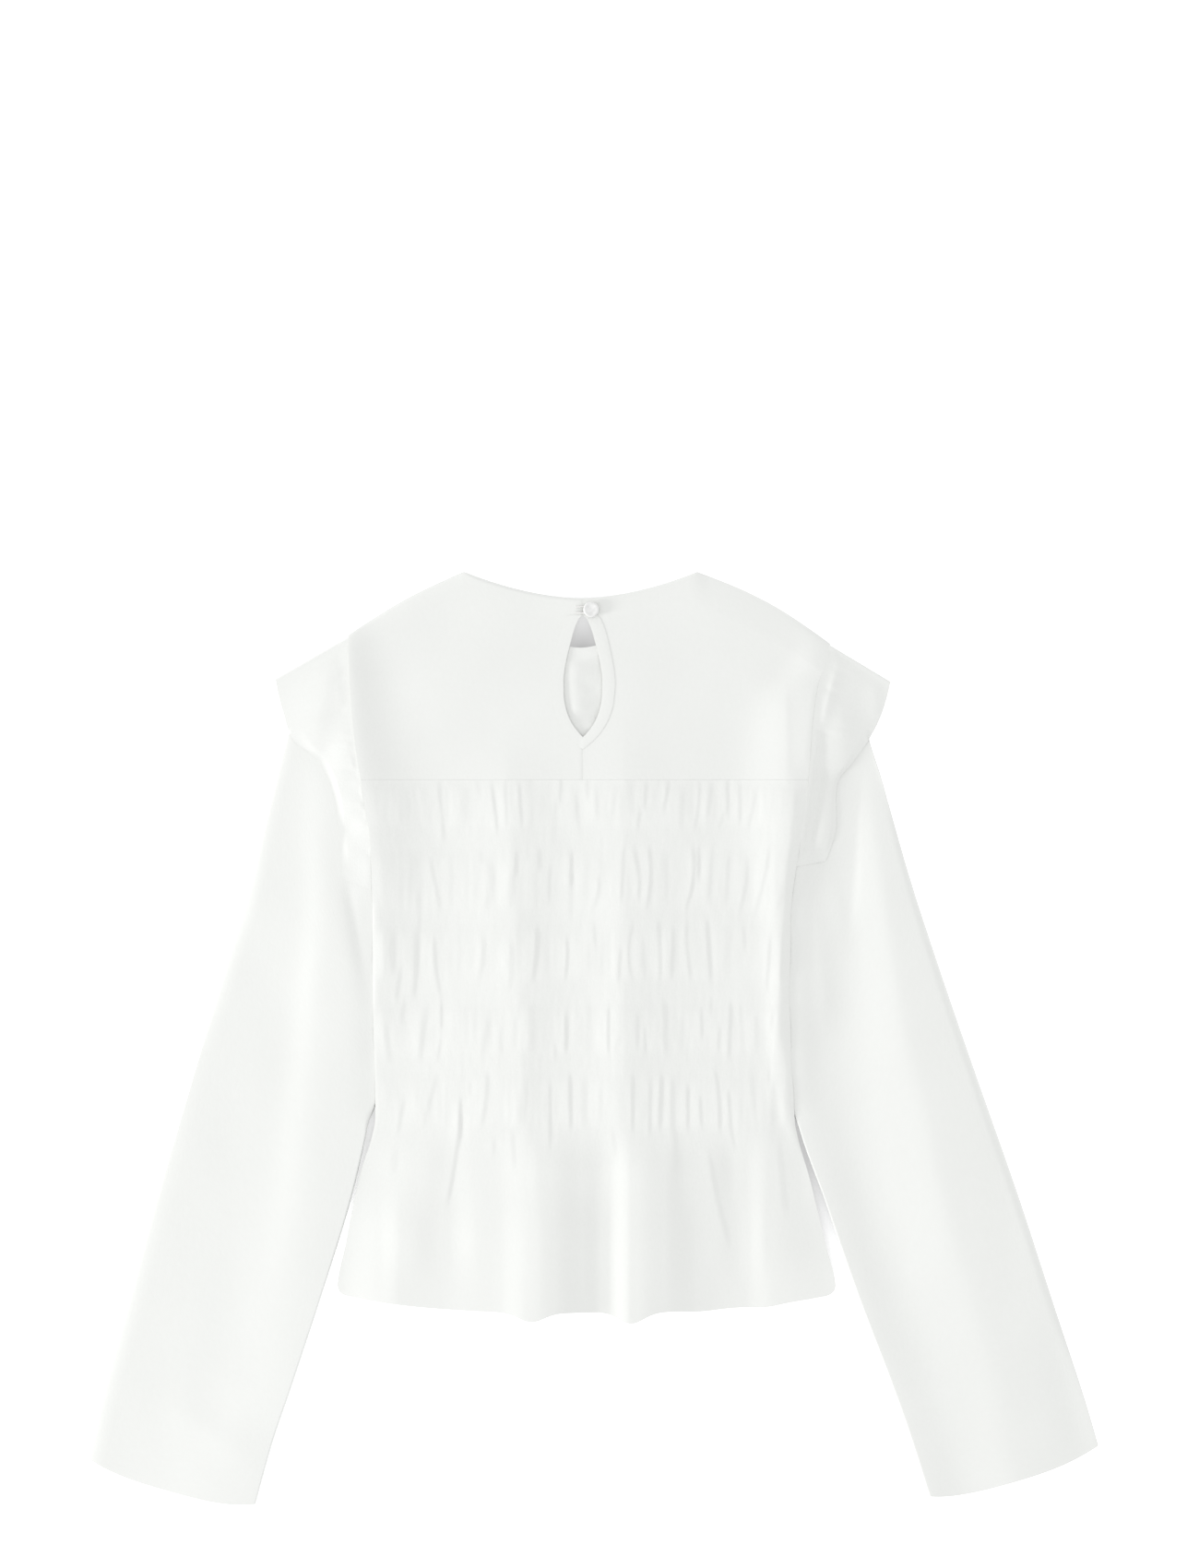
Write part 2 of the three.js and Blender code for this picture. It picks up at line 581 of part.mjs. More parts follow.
function frill(side) {
  const sign = sideSign[side];
  const restHeight = capRise + sleeveThickness + 2 * seamGap + wall / 2;
  const rootHeight = capRise + capThickness + 2 * seamGap + wall / 2;
  const underHeight = wall / 2;
  const shownRows = 14;
  const foldRows = 5;
  const underRows = 7;
  const across = 8;
  const towardRoot = 1.4;      // a power above 1 draws the columns together at the root
  const frontShare = 0.96;     // the front half is cut a little narrower
  const foldAtRoot = { out: 0, drop: 1 };         // the way from the fold into the frill,
  const foldAtTip = { out: -0.49, drop: 0.87 };   // square to the fold's line

  // A point of the half that lies over the sleeve, t from the fold down, s from the root out
  const shown = (t, s) => {
    const row = readAlong(frills[side], t);
    const rootOut = armholeOut(side, row.rootDrop) + 2 * seamGap;
    const roll = row.roll * Math.sin(Math.PI * Math.sqrt(s));
    const rest = lerp(rootHeight, restHeight, Math.sqrt(s));
    const out = lerp(rootOut, row.freeOut, s);
    const drop = lerp(row.rootDrop, row.freeDrop, s);
    return { out, drop, height: rest + roll };
  };

  // The fold on the shoulder is a half round: turn runs from 0 on top to 1 underneath
  const fold = (turn, s) => {
    const edge = shown(0, s);
    const radius = (edge.height - underHeight) / 2;
    const inward = new THREE.Vector2(
      lerp(foldAtRoot.out, foldAtTip.out, s),
      lerp(foldAtRoot.drop, foldAtTip.drop, s),
    ).normalize();
    const back = radius + wall / 2 - radius * Math.sin(Math.PI * turn);
    const out = edge.out + inward.x * back;
    const drop = edge.drop + inward.y * back;
    return { out, drop, height: underHeight + radius * (1 + Math.cos(Math.PI * turn)) };
  };

  const toPoint = ({ out, drop, height }) => place(sign * out, drop, height);
  const rowOf = (pointAt, where) => (
    Array.from({ length: across + 1 }, (_, j) => toPoint(pointAt(where, (j / across) ** towardRoot)))
  );
  const flat = (t, s) => {
    const p = shown(t, frontShare * s);
    return { ...p, height: underHeight };
  };
  const rows = [];
  for (let i = shownRows; i > 0; i--) {
    rows.push(rowOf(shown, i / shownRows));
  }
  for (let i = 0; i <= foldRows; i++) {
    rows.push(rowOf(fold, i / foldRows));
  }
  for (let i = 1; i <= underRows; i++) {
    rows.push(rowOf(flat, i / underRows));
  }
  return panel(`frill_${side}`, ...thicken(rows, wall));
}

// ---- Button and loop ----

const buttonAt = { x: 6, drop: 28 };
const buttonRadius = 5.8;
const shankRadius = 1.6;
const cordRadius = 0.6;

function button() {
  const height = backUnder + wall + seamGap;
  const shankHeight = 2 * cordRadius + 2 * seamGap;
  const headHeight = 2;
  const dish = 0.4;            // the face is a little hollow
  const profile = [
    [0, 0], [shankRadius, 0], [shankRadius, shankHeight],
    [buttonRadius - 0.8, shankHeight], [buttonRadius, shankHeight + 0.7],
    [buttonRadius - 0.3, shankHeight + 1.5], [buttonRadius - 1.2, shankHeight + headHeight],
    [0, shankHeight + headHeight - dish],
  ].map(([r, z]) => new THREE.Vector2(r, z));
  const geometry = new THREE.LatheGeometry(profile, 20).rotateX(Math.PI / 2);
  const mesh = new THREE.Mesh(geometry, new THREE.MeshStandardMaterial({ color: 0xf4f3f1, roughness: 0.35 }));
  mesh.name = 'button';
  mesh.position.copy(place(buttonAt.x, buttonAt.drop, height));
  return mesh;
}

// A cord loop that leaves the left half, goes round the shank and comes back
function buttonLoop() {
  const height = backUnder + wall + seamGap + cordRadius;
  const ring = shankRadius + seamGap + cordRadius;
  const start = -5;
  const legSpread = 0.8 * ring;   // the two ends stand this far above and below the button's middle
  const points = [new THREE.Vector3(start, -buttonAt.drop + legSpread, height)];
  for (let i = 0; i <= 8; i++) {
    const turn = Math.PI / 2 - (Math.PI * i) / 8;
    points.push(new THREE.Vector3(
      buttonAt.x + ring * Math.cos(turn),
      -buttonAt.drop + ring * Math.sin(turn),
      height,
    ));
  }
  points.push(new THREE.Vector3(start, -buttonAt.drop - legSpread, height));
  const section = new THREE.Shape().absarc(0, 0, cordRadius, 0, 2 * Math.PI);
  const geometry = new THREE.ExtrudeGeometry(section, {
    extrudePath: new THREE.CatmullRomCurve3(points),
    steps: 28,
    curveSegments: 4,
  });
  const mesh = new THREE.Mesh(geometry, new THREE.MeshStandardMaterial(cloth));
  mesh.name = 'button_loop';
  return mesh;
}

// ---- The whole blouse, its origin under the middle of its box ----

const pieces = new THREE.Group();
pieces.add(frontYoke(), frontBody());
pieces.add(backYoke('left'), backYoke('right'), keyholeBinding(), backBody());
for (const side of ['left', 'right']) {
  pieces.add(sleeve(side), frill(side));
}
pieces.add(button(), buttonLoop());

const blouse = new THREE.Group();
blouse.add(pieces);
const box = new THREE.Box3().setFromObject(pieces);
const middle = box.getCenter(new THREE.Vector3());
pieces.position.set(-middle.x, -middle.y, -box.min.z);

export default blouse;
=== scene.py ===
import math
import bmesh
import bpy
import numpy as np
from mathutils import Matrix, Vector
from mathutils.bvhtree import BVHTree


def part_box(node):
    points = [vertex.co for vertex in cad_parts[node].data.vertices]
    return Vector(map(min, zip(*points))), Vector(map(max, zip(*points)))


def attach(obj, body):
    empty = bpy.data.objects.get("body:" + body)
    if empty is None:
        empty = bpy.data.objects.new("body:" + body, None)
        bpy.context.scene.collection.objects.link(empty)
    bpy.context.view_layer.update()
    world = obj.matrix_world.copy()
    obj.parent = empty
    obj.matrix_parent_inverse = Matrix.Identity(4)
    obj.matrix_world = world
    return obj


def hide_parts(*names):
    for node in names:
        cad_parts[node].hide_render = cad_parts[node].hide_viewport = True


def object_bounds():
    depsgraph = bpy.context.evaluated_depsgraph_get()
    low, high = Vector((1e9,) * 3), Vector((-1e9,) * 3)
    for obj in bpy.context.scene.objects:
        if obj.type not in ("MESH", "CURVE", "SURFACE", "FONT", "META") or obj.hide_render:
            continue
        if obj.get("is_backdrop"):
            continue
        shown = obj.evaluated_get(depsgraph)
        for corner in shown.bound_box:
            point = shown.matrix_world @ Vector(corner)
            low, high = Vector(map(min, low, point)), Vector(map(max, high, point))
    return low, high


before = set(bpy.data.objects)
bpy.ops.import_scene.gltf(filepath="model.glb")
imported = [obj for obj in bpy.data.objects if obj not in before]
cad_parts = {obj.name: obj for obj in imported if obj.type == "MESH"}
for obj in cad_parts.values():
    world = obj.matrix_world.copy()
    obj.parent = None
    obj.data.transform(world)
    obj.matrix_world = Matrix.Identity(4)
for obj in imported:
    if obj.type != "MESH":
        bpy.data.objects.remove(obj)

# A long-sleeved blouse laid flat on its front, so that its back shows.
# Sizes are millimetres as a tailor takes them: out from the centre line (the wearer's left is
# negative), drop down from the high shoulder point, height up off the table.

scene = bpy.context.scene
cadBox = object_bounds()
mm = 0.001
centreX = (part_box("back_yoke_left")[1].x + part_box("back_yoke_right")[0].x) / 2
topY = cadBox[1].y

# camera, light and table

studio = {
    "cameraHeight": 3.0,
    "lookOut": 12.2,  # what the camera looks down on
    "lookDrop": 156.2,
    "viewLength": 1.1543,  # metres of table from the top to the bottom of the view
    "keyFrom": -11,  # degrees from straight left towards the neck, so this one is towards the hem
    "keyHeight": 13,  # degrees above the table
    "keyDistance": 4.2,  # metres
    "keyWidth": 0.9,
    "keyWatts": 100,
    "sky": 1.045,
    # painted shade, darkening the table's colour inside the keyhole and in the slits beside the waist: out,
    # drop, the share of its tone that is left there, the distances over which the whole tone comes back
    "paintedShades": [(0, 60, 0.12, 5, 64), (164, 424, 0.25, 8, 128), (-156, 410, 0.5, 8, 60)],
    "tableTones": ((0, (0.975, 0.975, 0.975)), (1, (0.985, 0.985, 0.985))),
    # its glow is that of a light table, so that hems throw no line of shadow
    "tableSurface": {"Roughness": 0.9, "Specular IOR Level": 0.1, "Emission Strength": 0.42},
}


def toFrame(out, drop, height):
    out, drop, height = np.broadcast_arrays(out, drop, height)
    return np.stack([centreX + out * mm, topY - drop * mm, height * mm], axis=-1)


def addObject(name, data):
    made = bpy.data.objects.new(name, data)
    scene.collection.objects.link(made)
    return made


def makeStudio():
    cameraData = bpy.data.cameras.new("camera")
    cameraData.lens = cameraData.sensor_width * studio["cameraHeight"] / studio["viewLength"]
    scene.camera = addObject("camera", cameraData)
    scene.camera.location = toFrame(studio["lookOut"], studio["lookDrop"], studio["cameraHeight"] / mm)

    keyData = bpy.data.lights.new("keyLight", "AREA")
    keyData.shape = "DISK"
    keyData.size = studio["keyWidth"]
    keyData.energy = studio["keyWatts"]
    keyData.color = (1.0, 0.997, 0.99)
    key = addObject("keyLight", keyData)
    turn, rise = math.radians(studio["keyFrom"]), math.radians(studio["keyHeight"])
    away = Vector((-math.cos(turn) * math.cos(rise), math.sin(turn) * math.cos(rise), math.sin(rise)))
    key.location = away * studio["keyDistance"]
    key.rotation_euler = away.to_track_quat("Z", "Y").to_euler()

    world = bpy.data.worlds.new("paleRoom")
    world.use_nodes = True
    background = world.node_tree.nodes["Background"]
    background.inputs["Color"].default_value = (0.99, 0.995, 1.0, 1)
    background.inputs["Strength"].default_value = studio["sky"]
    scene.world = world
    scene.view_settings.view_transform = "Standard"
    scene.view_settings.look = "None"


# materials

def addNode(tree, kind, settings=None, **inputs):
    node = tree.nodes.new(kind)
    for name, value in (settings or {}).items():
        setattr(node, name, value)
    for name, value in inputs.items():
        numbered = name[0] == "i" and name[1:].isdigit()
        socket = node.inputs[int(name[1:]) if numbered else name]
        if isinstance(value, bpy.types.NodeSocket):
            tree.links.new(value, socket)
        else:
            socket.default_value = value
    return node


def newMaterial(name, surface):
    material = bpy.data.materials.new(name)
    material.use_nodes = True
    tree = material.node_tree
    shader = tree.nodes["Principled BSDF"]
    for setting, value in surface.items():
        shader.inputs[setting].default_value = value
    return material, tree, shader


def mathNode(tree, operation, first, second=0.0):
    return addNode(tree, "ShaderNodeMath", {"operation": operation}, i0=first, i1=second).outputs[0]


def noiseNode(tree, vector, size, detail=2.0):
    node = addNode(tree, "ShaderNodeTexNoise", {"noise_dimensions": "3D"},
                   Vector=vector, Scale=1 / size, Detail=detail, Roughness=0.5)
    return node.outputs["Fac"]


def rampNode(tree, tone, ends):
    # each end is a tone and its colour
    ramp = addNode(tree, "ShaderNodeValToRGB", Fac=tone)
    for element, (place, colour) in zip(ramp.color_ramp.elements, ends):
        element.position = place
        element.color = (*colour, 1)
    return ramp.outputs["Color"]


fabric = {
    "colour": (0.766, 0.773, 0.752),
    "shade": (0.747, 0.753, 0.732),
    "cordColour": (0.80, 0.79, 0.775),
    "cordShade": (0.74, 0.73, 0.715),
    "cloudSize": 0.05,  # these sizes are metres
    "slubSize": 0.004,
    "crepeSize": 0.0022,
    "threadPitch": 0.00055,
    "surface": {
        "Roughness": 0.86, "Sheen Weight": 0.12, "Sheen Roughness": 0.5, "Specular IOR Level": 0.25,
    },
}


def makeFabric(name, colour, shade):
    material, tree, shader = newMaterial(name, fabric["surface"])
    place = addNode(tree, "ShaderNodeTexCoord").outputs["UV"]
    cloudy = mathNode(tree, "MULTIPLY", noiseNode(tree, place, fabric["cloudSize"], 3.0), 0.6)
    slub = mathNode(tree, "MULTIPLY", noiseNode(tree, place, fabric["slubSize"], 4.0), 0.4)
    tinted = rampNode(tree, mathNode(tree, "ADD", cloudy, slub), ((0.3, shade), (0.7, colour)))
    tree.links.new(tinted, shader.inputs["Base Color"])

    # plain weave: warp and weft as two crossing waves
    waveScale = 2 * math.pi / 20 / fabric["threadPitch"]
    warp, weft = (addNode(tree, "ShaderNodeTexWave", {"bands_direction": way}, Vector=place,
                          Scale=waveScale).outputs["Fac"] for way in "XY")
    weave = mathNode(tree, "MULTIPLY", warp, weft)
    weaveBump = addNode(tree, "ShaderNodeBump", Height=weave, Strength=0.12, Distance=0.00012)
    crepe = noiseNode(tree, place, fabric["crepeSize"], 3.0)
    crepeBump = addNode(tree, "ShaderNodeBump", Height=crepe, Strength=0.25, Distance=0.00035,
                        Normal=weaveBump.outputs["Normal"])
    tree.links.new(crepeBump.outputs["Normal"], shader.inputs["Normal"])
    return material


nacre = {
    "tones": ((0.35, (0.70, 0.70, 0.69)), (0.65, (0.77, 0.77, 0.76))),
    "swirlSize": 0.003,
    "surface": {"Roughness": 0.45, "Coat Weight": 0.12, "Coat Roughness": 0.25},
}


def makePearl(name):
    material, tree, shader = newMaterial(name, nacre["surface"])
    place = addNode(tree, "ShaderNodeTexCoord").outputs["Object"]
    tinted = rampNode(tree, noiseNode(tree, place, nacre["swirlSize"], 3.0), nacre["tones"])
    tree.links.new(tinted, shader.inputs["Base Color"])
    return material


def makeTable(name):
    material, tree, shader = newMaterial(name, studio["tableSurface"])
    place = addNode(tree, "ShaderNodeTexCoord").outputs["Object"]
    grain = rampNode(tree, noiseNode(tree, place, 0.3), studio["tableTones"])
    tree.links.new(grain, shader.inputs["Emission Color"])
    # painted shade: the table's colour is darkened round the keyhole and the slits beside the waist
    tone = 1.0
    for out, drop, left, start, end in studio["paintedShades"]:
        middle = toFrame(out, drop, 0).tolist()
        away = addNode(tree, "ShaderNodeVectorMath", {"operation": "DISTANCE"}, i0=place, i1=middle)
        share = addNode(tree, "ShaderNodeMapRange", Value=away.outputs["Value"], **{
            "From Min": start * mm, "From Max": end * mm, "To Min": left})
        tone = mathNode(tree, "MULTIPLY", share.outputs["Result"], tone)
    tinted = addNode(tree, "ShaderNodeVectorMath", {"operation": "SCALE"}, i0=grain, Scale=tone)
    tree.links.new(tinted.outputs["Vector"], shader.inputs["Base Color"])
    return material


# shaping

def smoothStep(value, low, high):
    share = np.clip((value - low) / (high - low), 0, 1)
    return share * share * (3 - 2 * share)


def lerp(start, end, share):
    return start + (end - start) * share


def softMax(first, second, softness):
    # the higher of the two, eased where they meet
    return (first + second + np.sqrt((first - second) ** 2 + softness)) / 2


def curveThrough(values, at):
    # a smooth reading between a table's values, at 0 on the first
    values = np.asarray(values, float)
    at = np.clip(at, 0, len(values) - 1)
    i = np.minimum(at.astype(int), len(values) - 2)
    f = at - i
    a, b, c, d = (values[np.clip(i + k, 0, len(values) - 1)] for k in (-1, 0, 1, 2))
    return b + 0.5 * f * (c - a + f * (2 * a - 5 * b + 4 * c - d + f * (3 * (b - c) + d - a)))


def readAtDrop(table, drop):
    # what a table has at a drop, column by column; its rows start with their drop
    rows = np.asarray(table, float)
    drop = np.asarray(drop, float)
    i = np.clip(np.searchsorted(rows[:, 0], drop, side="right") - 1, 0, len(rows) - 2)
    share = (drop - rows[i, 0]) / (rows[i + 1, 0] - rows[i, 0])
    return [curveThrough(column, i + share) for column in rows.T[1:]]


def unevenness(x, y, cellX, cellY, seed, height=1.0):
    # smooth and repeatable, as high above nothing as below it
    size = (97, 89)
    lattice = np.random.default_rng(seed).uniform(-1, 1, size)
    gx, gy = x / cellX, y / cellY
    ix, iy = np.floor(gx).astype(int), np.floor(gy).astype(int)
    fx, fy = smoothStep(gx - ix, 0, 1), smoothStep(gy - iy, 0, 1)
    corner = lambda a, b: lattice[(ix + a) % size[0], (iy + b) % size[1]]
    return height * lerp(lerp(corner(0, 0), corner(1, 0), fx), lerp(corner(0, 1), corner(1, 1), fx), fy)


foldEnd = (0, 0.25, 0.25)  # bow and fades, where a fold or a crease states none
creaseEnd = (0.8, *foldEnd)


def foldHeight(folds, out, drop, sharpness=1.8):
    # each fold: out and drop where it starts, how far out and down it runs, its height (a trough's
    # is below nothing), its reach to the left and right, how far it bows right, how fast it fades
    total = np.zeros(np.broadcast(out, drop).shape)
    for fold in folds:
        startOut, startDrop, alongOut, alongDrop, height, left, right = fold[:7]
        bow, fadeIn, fadeOut = fold[7:] + foldEnd[len(fold) - 7:]
        length = math.hypot(alongOut, alongDrop)
        along = ((out - startOut) * alongOut + (drop - startDrop) * alongDrop) / length ** 2
        aside = ((out - startOut) * alongDrop - (drop - startDrop) * alongOut) / length
        aside = aside - bow * (1 - (2 * np.clip(along, 0, 1) - 1) ** 2)
        reach = np.where(aside < 0, left, right)
        begins = smoothStep(along, -fadeIn / 2, fadeIn / 2)
        ends = 1 - smoothStep(along, 1 - fadeOut / 2, 1 + fadeOut / 2)
        total = total + height * begins * ends * np.exp(-np.abs(aside / reach) ** sharpness)
    return total


def profileThrough(points, at):
    # a soft line through points of place and height, level on each crest and in each hollow
    places, heights = np.asarray(points, float).T
    steps = np.diff(heights) / np.diff(places)
    slopes = np.zeros(len(places))
    for i in range(1, len(places) - 1):
        if steps[i - 1] * steps[i] > 0:
            slopes[i] = 2 * steps[i - 1] * steps[i] / (steps[i - 1] + steps[i])
    i = np.clip(np.searchsorted(places, at, side="right") - 1, 0, len(places) - 2)
    width = places[i + 1] - places[i]
    f = np.clip((at - places[i]) / width, 0, 1)
    return ((1 + 2 * f) * (1 - f) ** 2 * heights[i] + f * (1 - f) ** 2 * width * slopes[i]
            + f * f * (3 - 2 * f) * heights[i + 1] - f * f * (1 - f) * width * slopes[i + 1])


def creaseHeight(creases, out, drop):
    # the cloth climbs softly to a crease from the left and steps down at it: its start and run are
    # a fold's, then how far it steps down, over what width if not 0.8, bow, fades
    pairs = []
    for crease in creases:
        *place, down, width, bow, fadeIn, fadeOut = crease + creaseEnd[len(crease) - 5:]
        sharp, soft = 0.9 * width, 2.5 + 3 * width
        pairs.append((*place, 0.65 * down, soft, sharp, bow, fadeIn, fadeOut))
        pairs.append((*place, -0.55 * down, sharp, soft, bow, fadeIn, fadeOut))
    return foldHeight(pairs, out, drop)


def bridgeEdges(top, bottom, start, end):
    # a patch filled in between its four edges, each a function that gives out and drop
    def at(across, down):
        corner = [np.array(edge(share * np.ones(1))) for edge in (top, bottom) for share in (0.0, 1.0)]
        straight = lerp(np.array(top(across)), np.array(bottom(across)), down)
        sideways = lerp(np.array(start(down)), np.array(end(down)), across)
        corners = lerp(lerp(corner[0], corner[1], across), lerp(corner[2], corner[3], across), down)
        return straight + sideways - corners
    return at


def makePiece(name, node, columns, rows, shape, size, thickness, offset=-1.0, closed=False):
    # a grid of cloth, shaped from its shares across and down; its UV map is in metres of cloth
    grid = bmesh.new()
    uvMap = grid.loops.layers.uv.new("cloth")
    bmesh.ops.create_grid(grid, x_segments=columns, y_segments=rows, size=0.5, calc_uvs=True)
    flat = np.array([vertex.co for vertex in grid.verts], float)
    for vertex, place in zip(grid.verts, toFrame(*shape(flat[:, 0] + 0.5, 0.5 - flat[:, 1]))):
        vertex.co = place
    scale = Vector(size) * mm
    for face in grid.faces:
        for corner in face.loops:
            corner[uvMap].uv *= scale
    if closed:
        bmesh.ops.remove_doubles(grid, verts=grid.verts, dist=1e-6)
        bmesh.ops.recalc_face_normals(grid, faces=grid.faces)
    grid.normal_update()
    if not closed and sum(face.normal.z for face in grid.faces) < 0:
        bmesh.ops.reverse_faces(grid, faces=grid.faces)
    for edge in grid.edges:
        edge.smooth = not edge.is_boundary
    mesh = bpy.data.meshes.new(name)
    grid.to_mesh(mesh)
    grid.free()
    return finishPiece(name, mesh, cloth, node, thickness, offset)


def makePair(name, node, columns, rows, shape, size, thickness, **more):
    return {side: makePiece(name + word, f"{node}_{word.lower()}", columns, rows, shape(side), size,
                            thickness, **more) for side, word in ((-1, "Left"), (1, "Right"))}


def finishPiece(name, mesh, material, node, thickness=0, offset=-1.0):
    mesh.materials.append(material)
    mesh.shade_smooth()
    piece = addObject(name, mesh)
    if thickness:
        wall = piece.modifiers.new("wall", "SOLIDIFY")
        wall.thickness = thickness * mm
        wall.offset = offset
    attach(piece, "root")
    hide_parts(node)
    return piece


makeStudio()
cloth = makeFabric("whiteCloth", fabric["colour"], fabric["shade"])
pearl = makePearl("pearlButton")
print("studio and materials made")

# the cut, shared by the pieces

wall = 1.4
seamGap = 0.3
frontTop = wall
backUnder = frontTop + seamGap
backTop = backUnder + wall
sheetWall = 0.45

cut = {
    "yokeDrop": 153,
    "waistDrop": 411,
    "neckHalf": 86,
    "neckOffset": -2,
    "backNeck": 19.5,
    "frontNeck": 56,
    "hemDrop": 531,  # at the side seams
    "loft": 2.4,
    # drop, how far out the armhole's seam is on each side
    "armhole": {
        -1: [(46.5, 172.5), (85, 171), (120, 168), (153, 163), (194, 156.5), (240, 154.5)],
        1: [(53, 182), (85, 173.5), (115, 169.5), (153, 166.5), (194, 160.5), (240, 153.5)],
    },
    # drop, how far out the side seams are on the left and on the right
    "sides": [
        (153, 163, 166.5), (194, 156.5, 160.5), (240, 154.5, 153.5), (326, 154, 152), (395, 152.5, 155),
        (411, 154.2, 157), (445, 164.4, 166.4), (482, 172, 175.6), (531, 180.5, 185.8),
    ],
    "shoulderBulge": {-1: 3, 1: 5},
    "shoulderLean": (0.5, 0.87),  # which way a shoulder's edge faces: out, up
}


def armholeOut(side, drop):
    return readAtDrop(cut["armhole"][side], drop)[0]


def bodyHalf(side, drop):
    drop = np.asarray(drop, float)
    above = armholeOut(side, np.maximum(drop, cut["armhole"][side][0][0]))
    left, right = readAtDrop(cut["sides"], np.maximum(drop, cut["yokeDrop"]))
    return np.where(drop < cut["yokeDrop"], above, left if side < 0 else right)


def armEdge(side, inset=0.0):
    # a yoke's edge along its armhole
    def at(down):
        drop = lerp(cut["armhole"][side][0][0], cut["yokeDrop"], down)
        return side * (bodyHalf(side, drop) - inset), drop
    return at


def airUnder(out, drop):
    half = np.where(out < 0, bodyHalf(-1, drop), bodyHalf(1, drop))
    share = np.clip(np.abs(out) / half, 0, 1)
    fade = smoothStep(drop, 30, 90) * (1 - smoothStep(drop, cut["waistDrop"], cut["waistDrop"] + 60))
    return cut["loft"] * (1 - share ** 4) * fade


def shoulderPoint(side, share, inset=0.0):
    endDrop, endOut = cut["armhole"][side][0]
    neck = side * cut["neckHalf"] + cut["neckOffset"]
    bulge = cut["shoulderBulge"][side] * np.sin(math.pi * share)
    leanOut, leanUp = cut["shoulderLean"]
    out = lerp(neck, side * (endOut - inset), share) + leanOut * side * bulge
    return out, endDrop * share - leanUp * bulge


def necklinePoint(depth, share):
    return cut["neckOffset"] + cut["neckHalf"] * share, depth * (1 - np.abs(share) ** 1.75)


def roundedEdge(distance, reach, shape=2.0):
    # 1 inside, falling to 0 at an edge, in a quarter round or, with a smaller shape, more evenly
    near = np.clip(1 - distance / reach, 0, 1)
    return (1 - near ** shape) ** (1 / shape)


# the back: two yoke halves and the gathered body share one surface

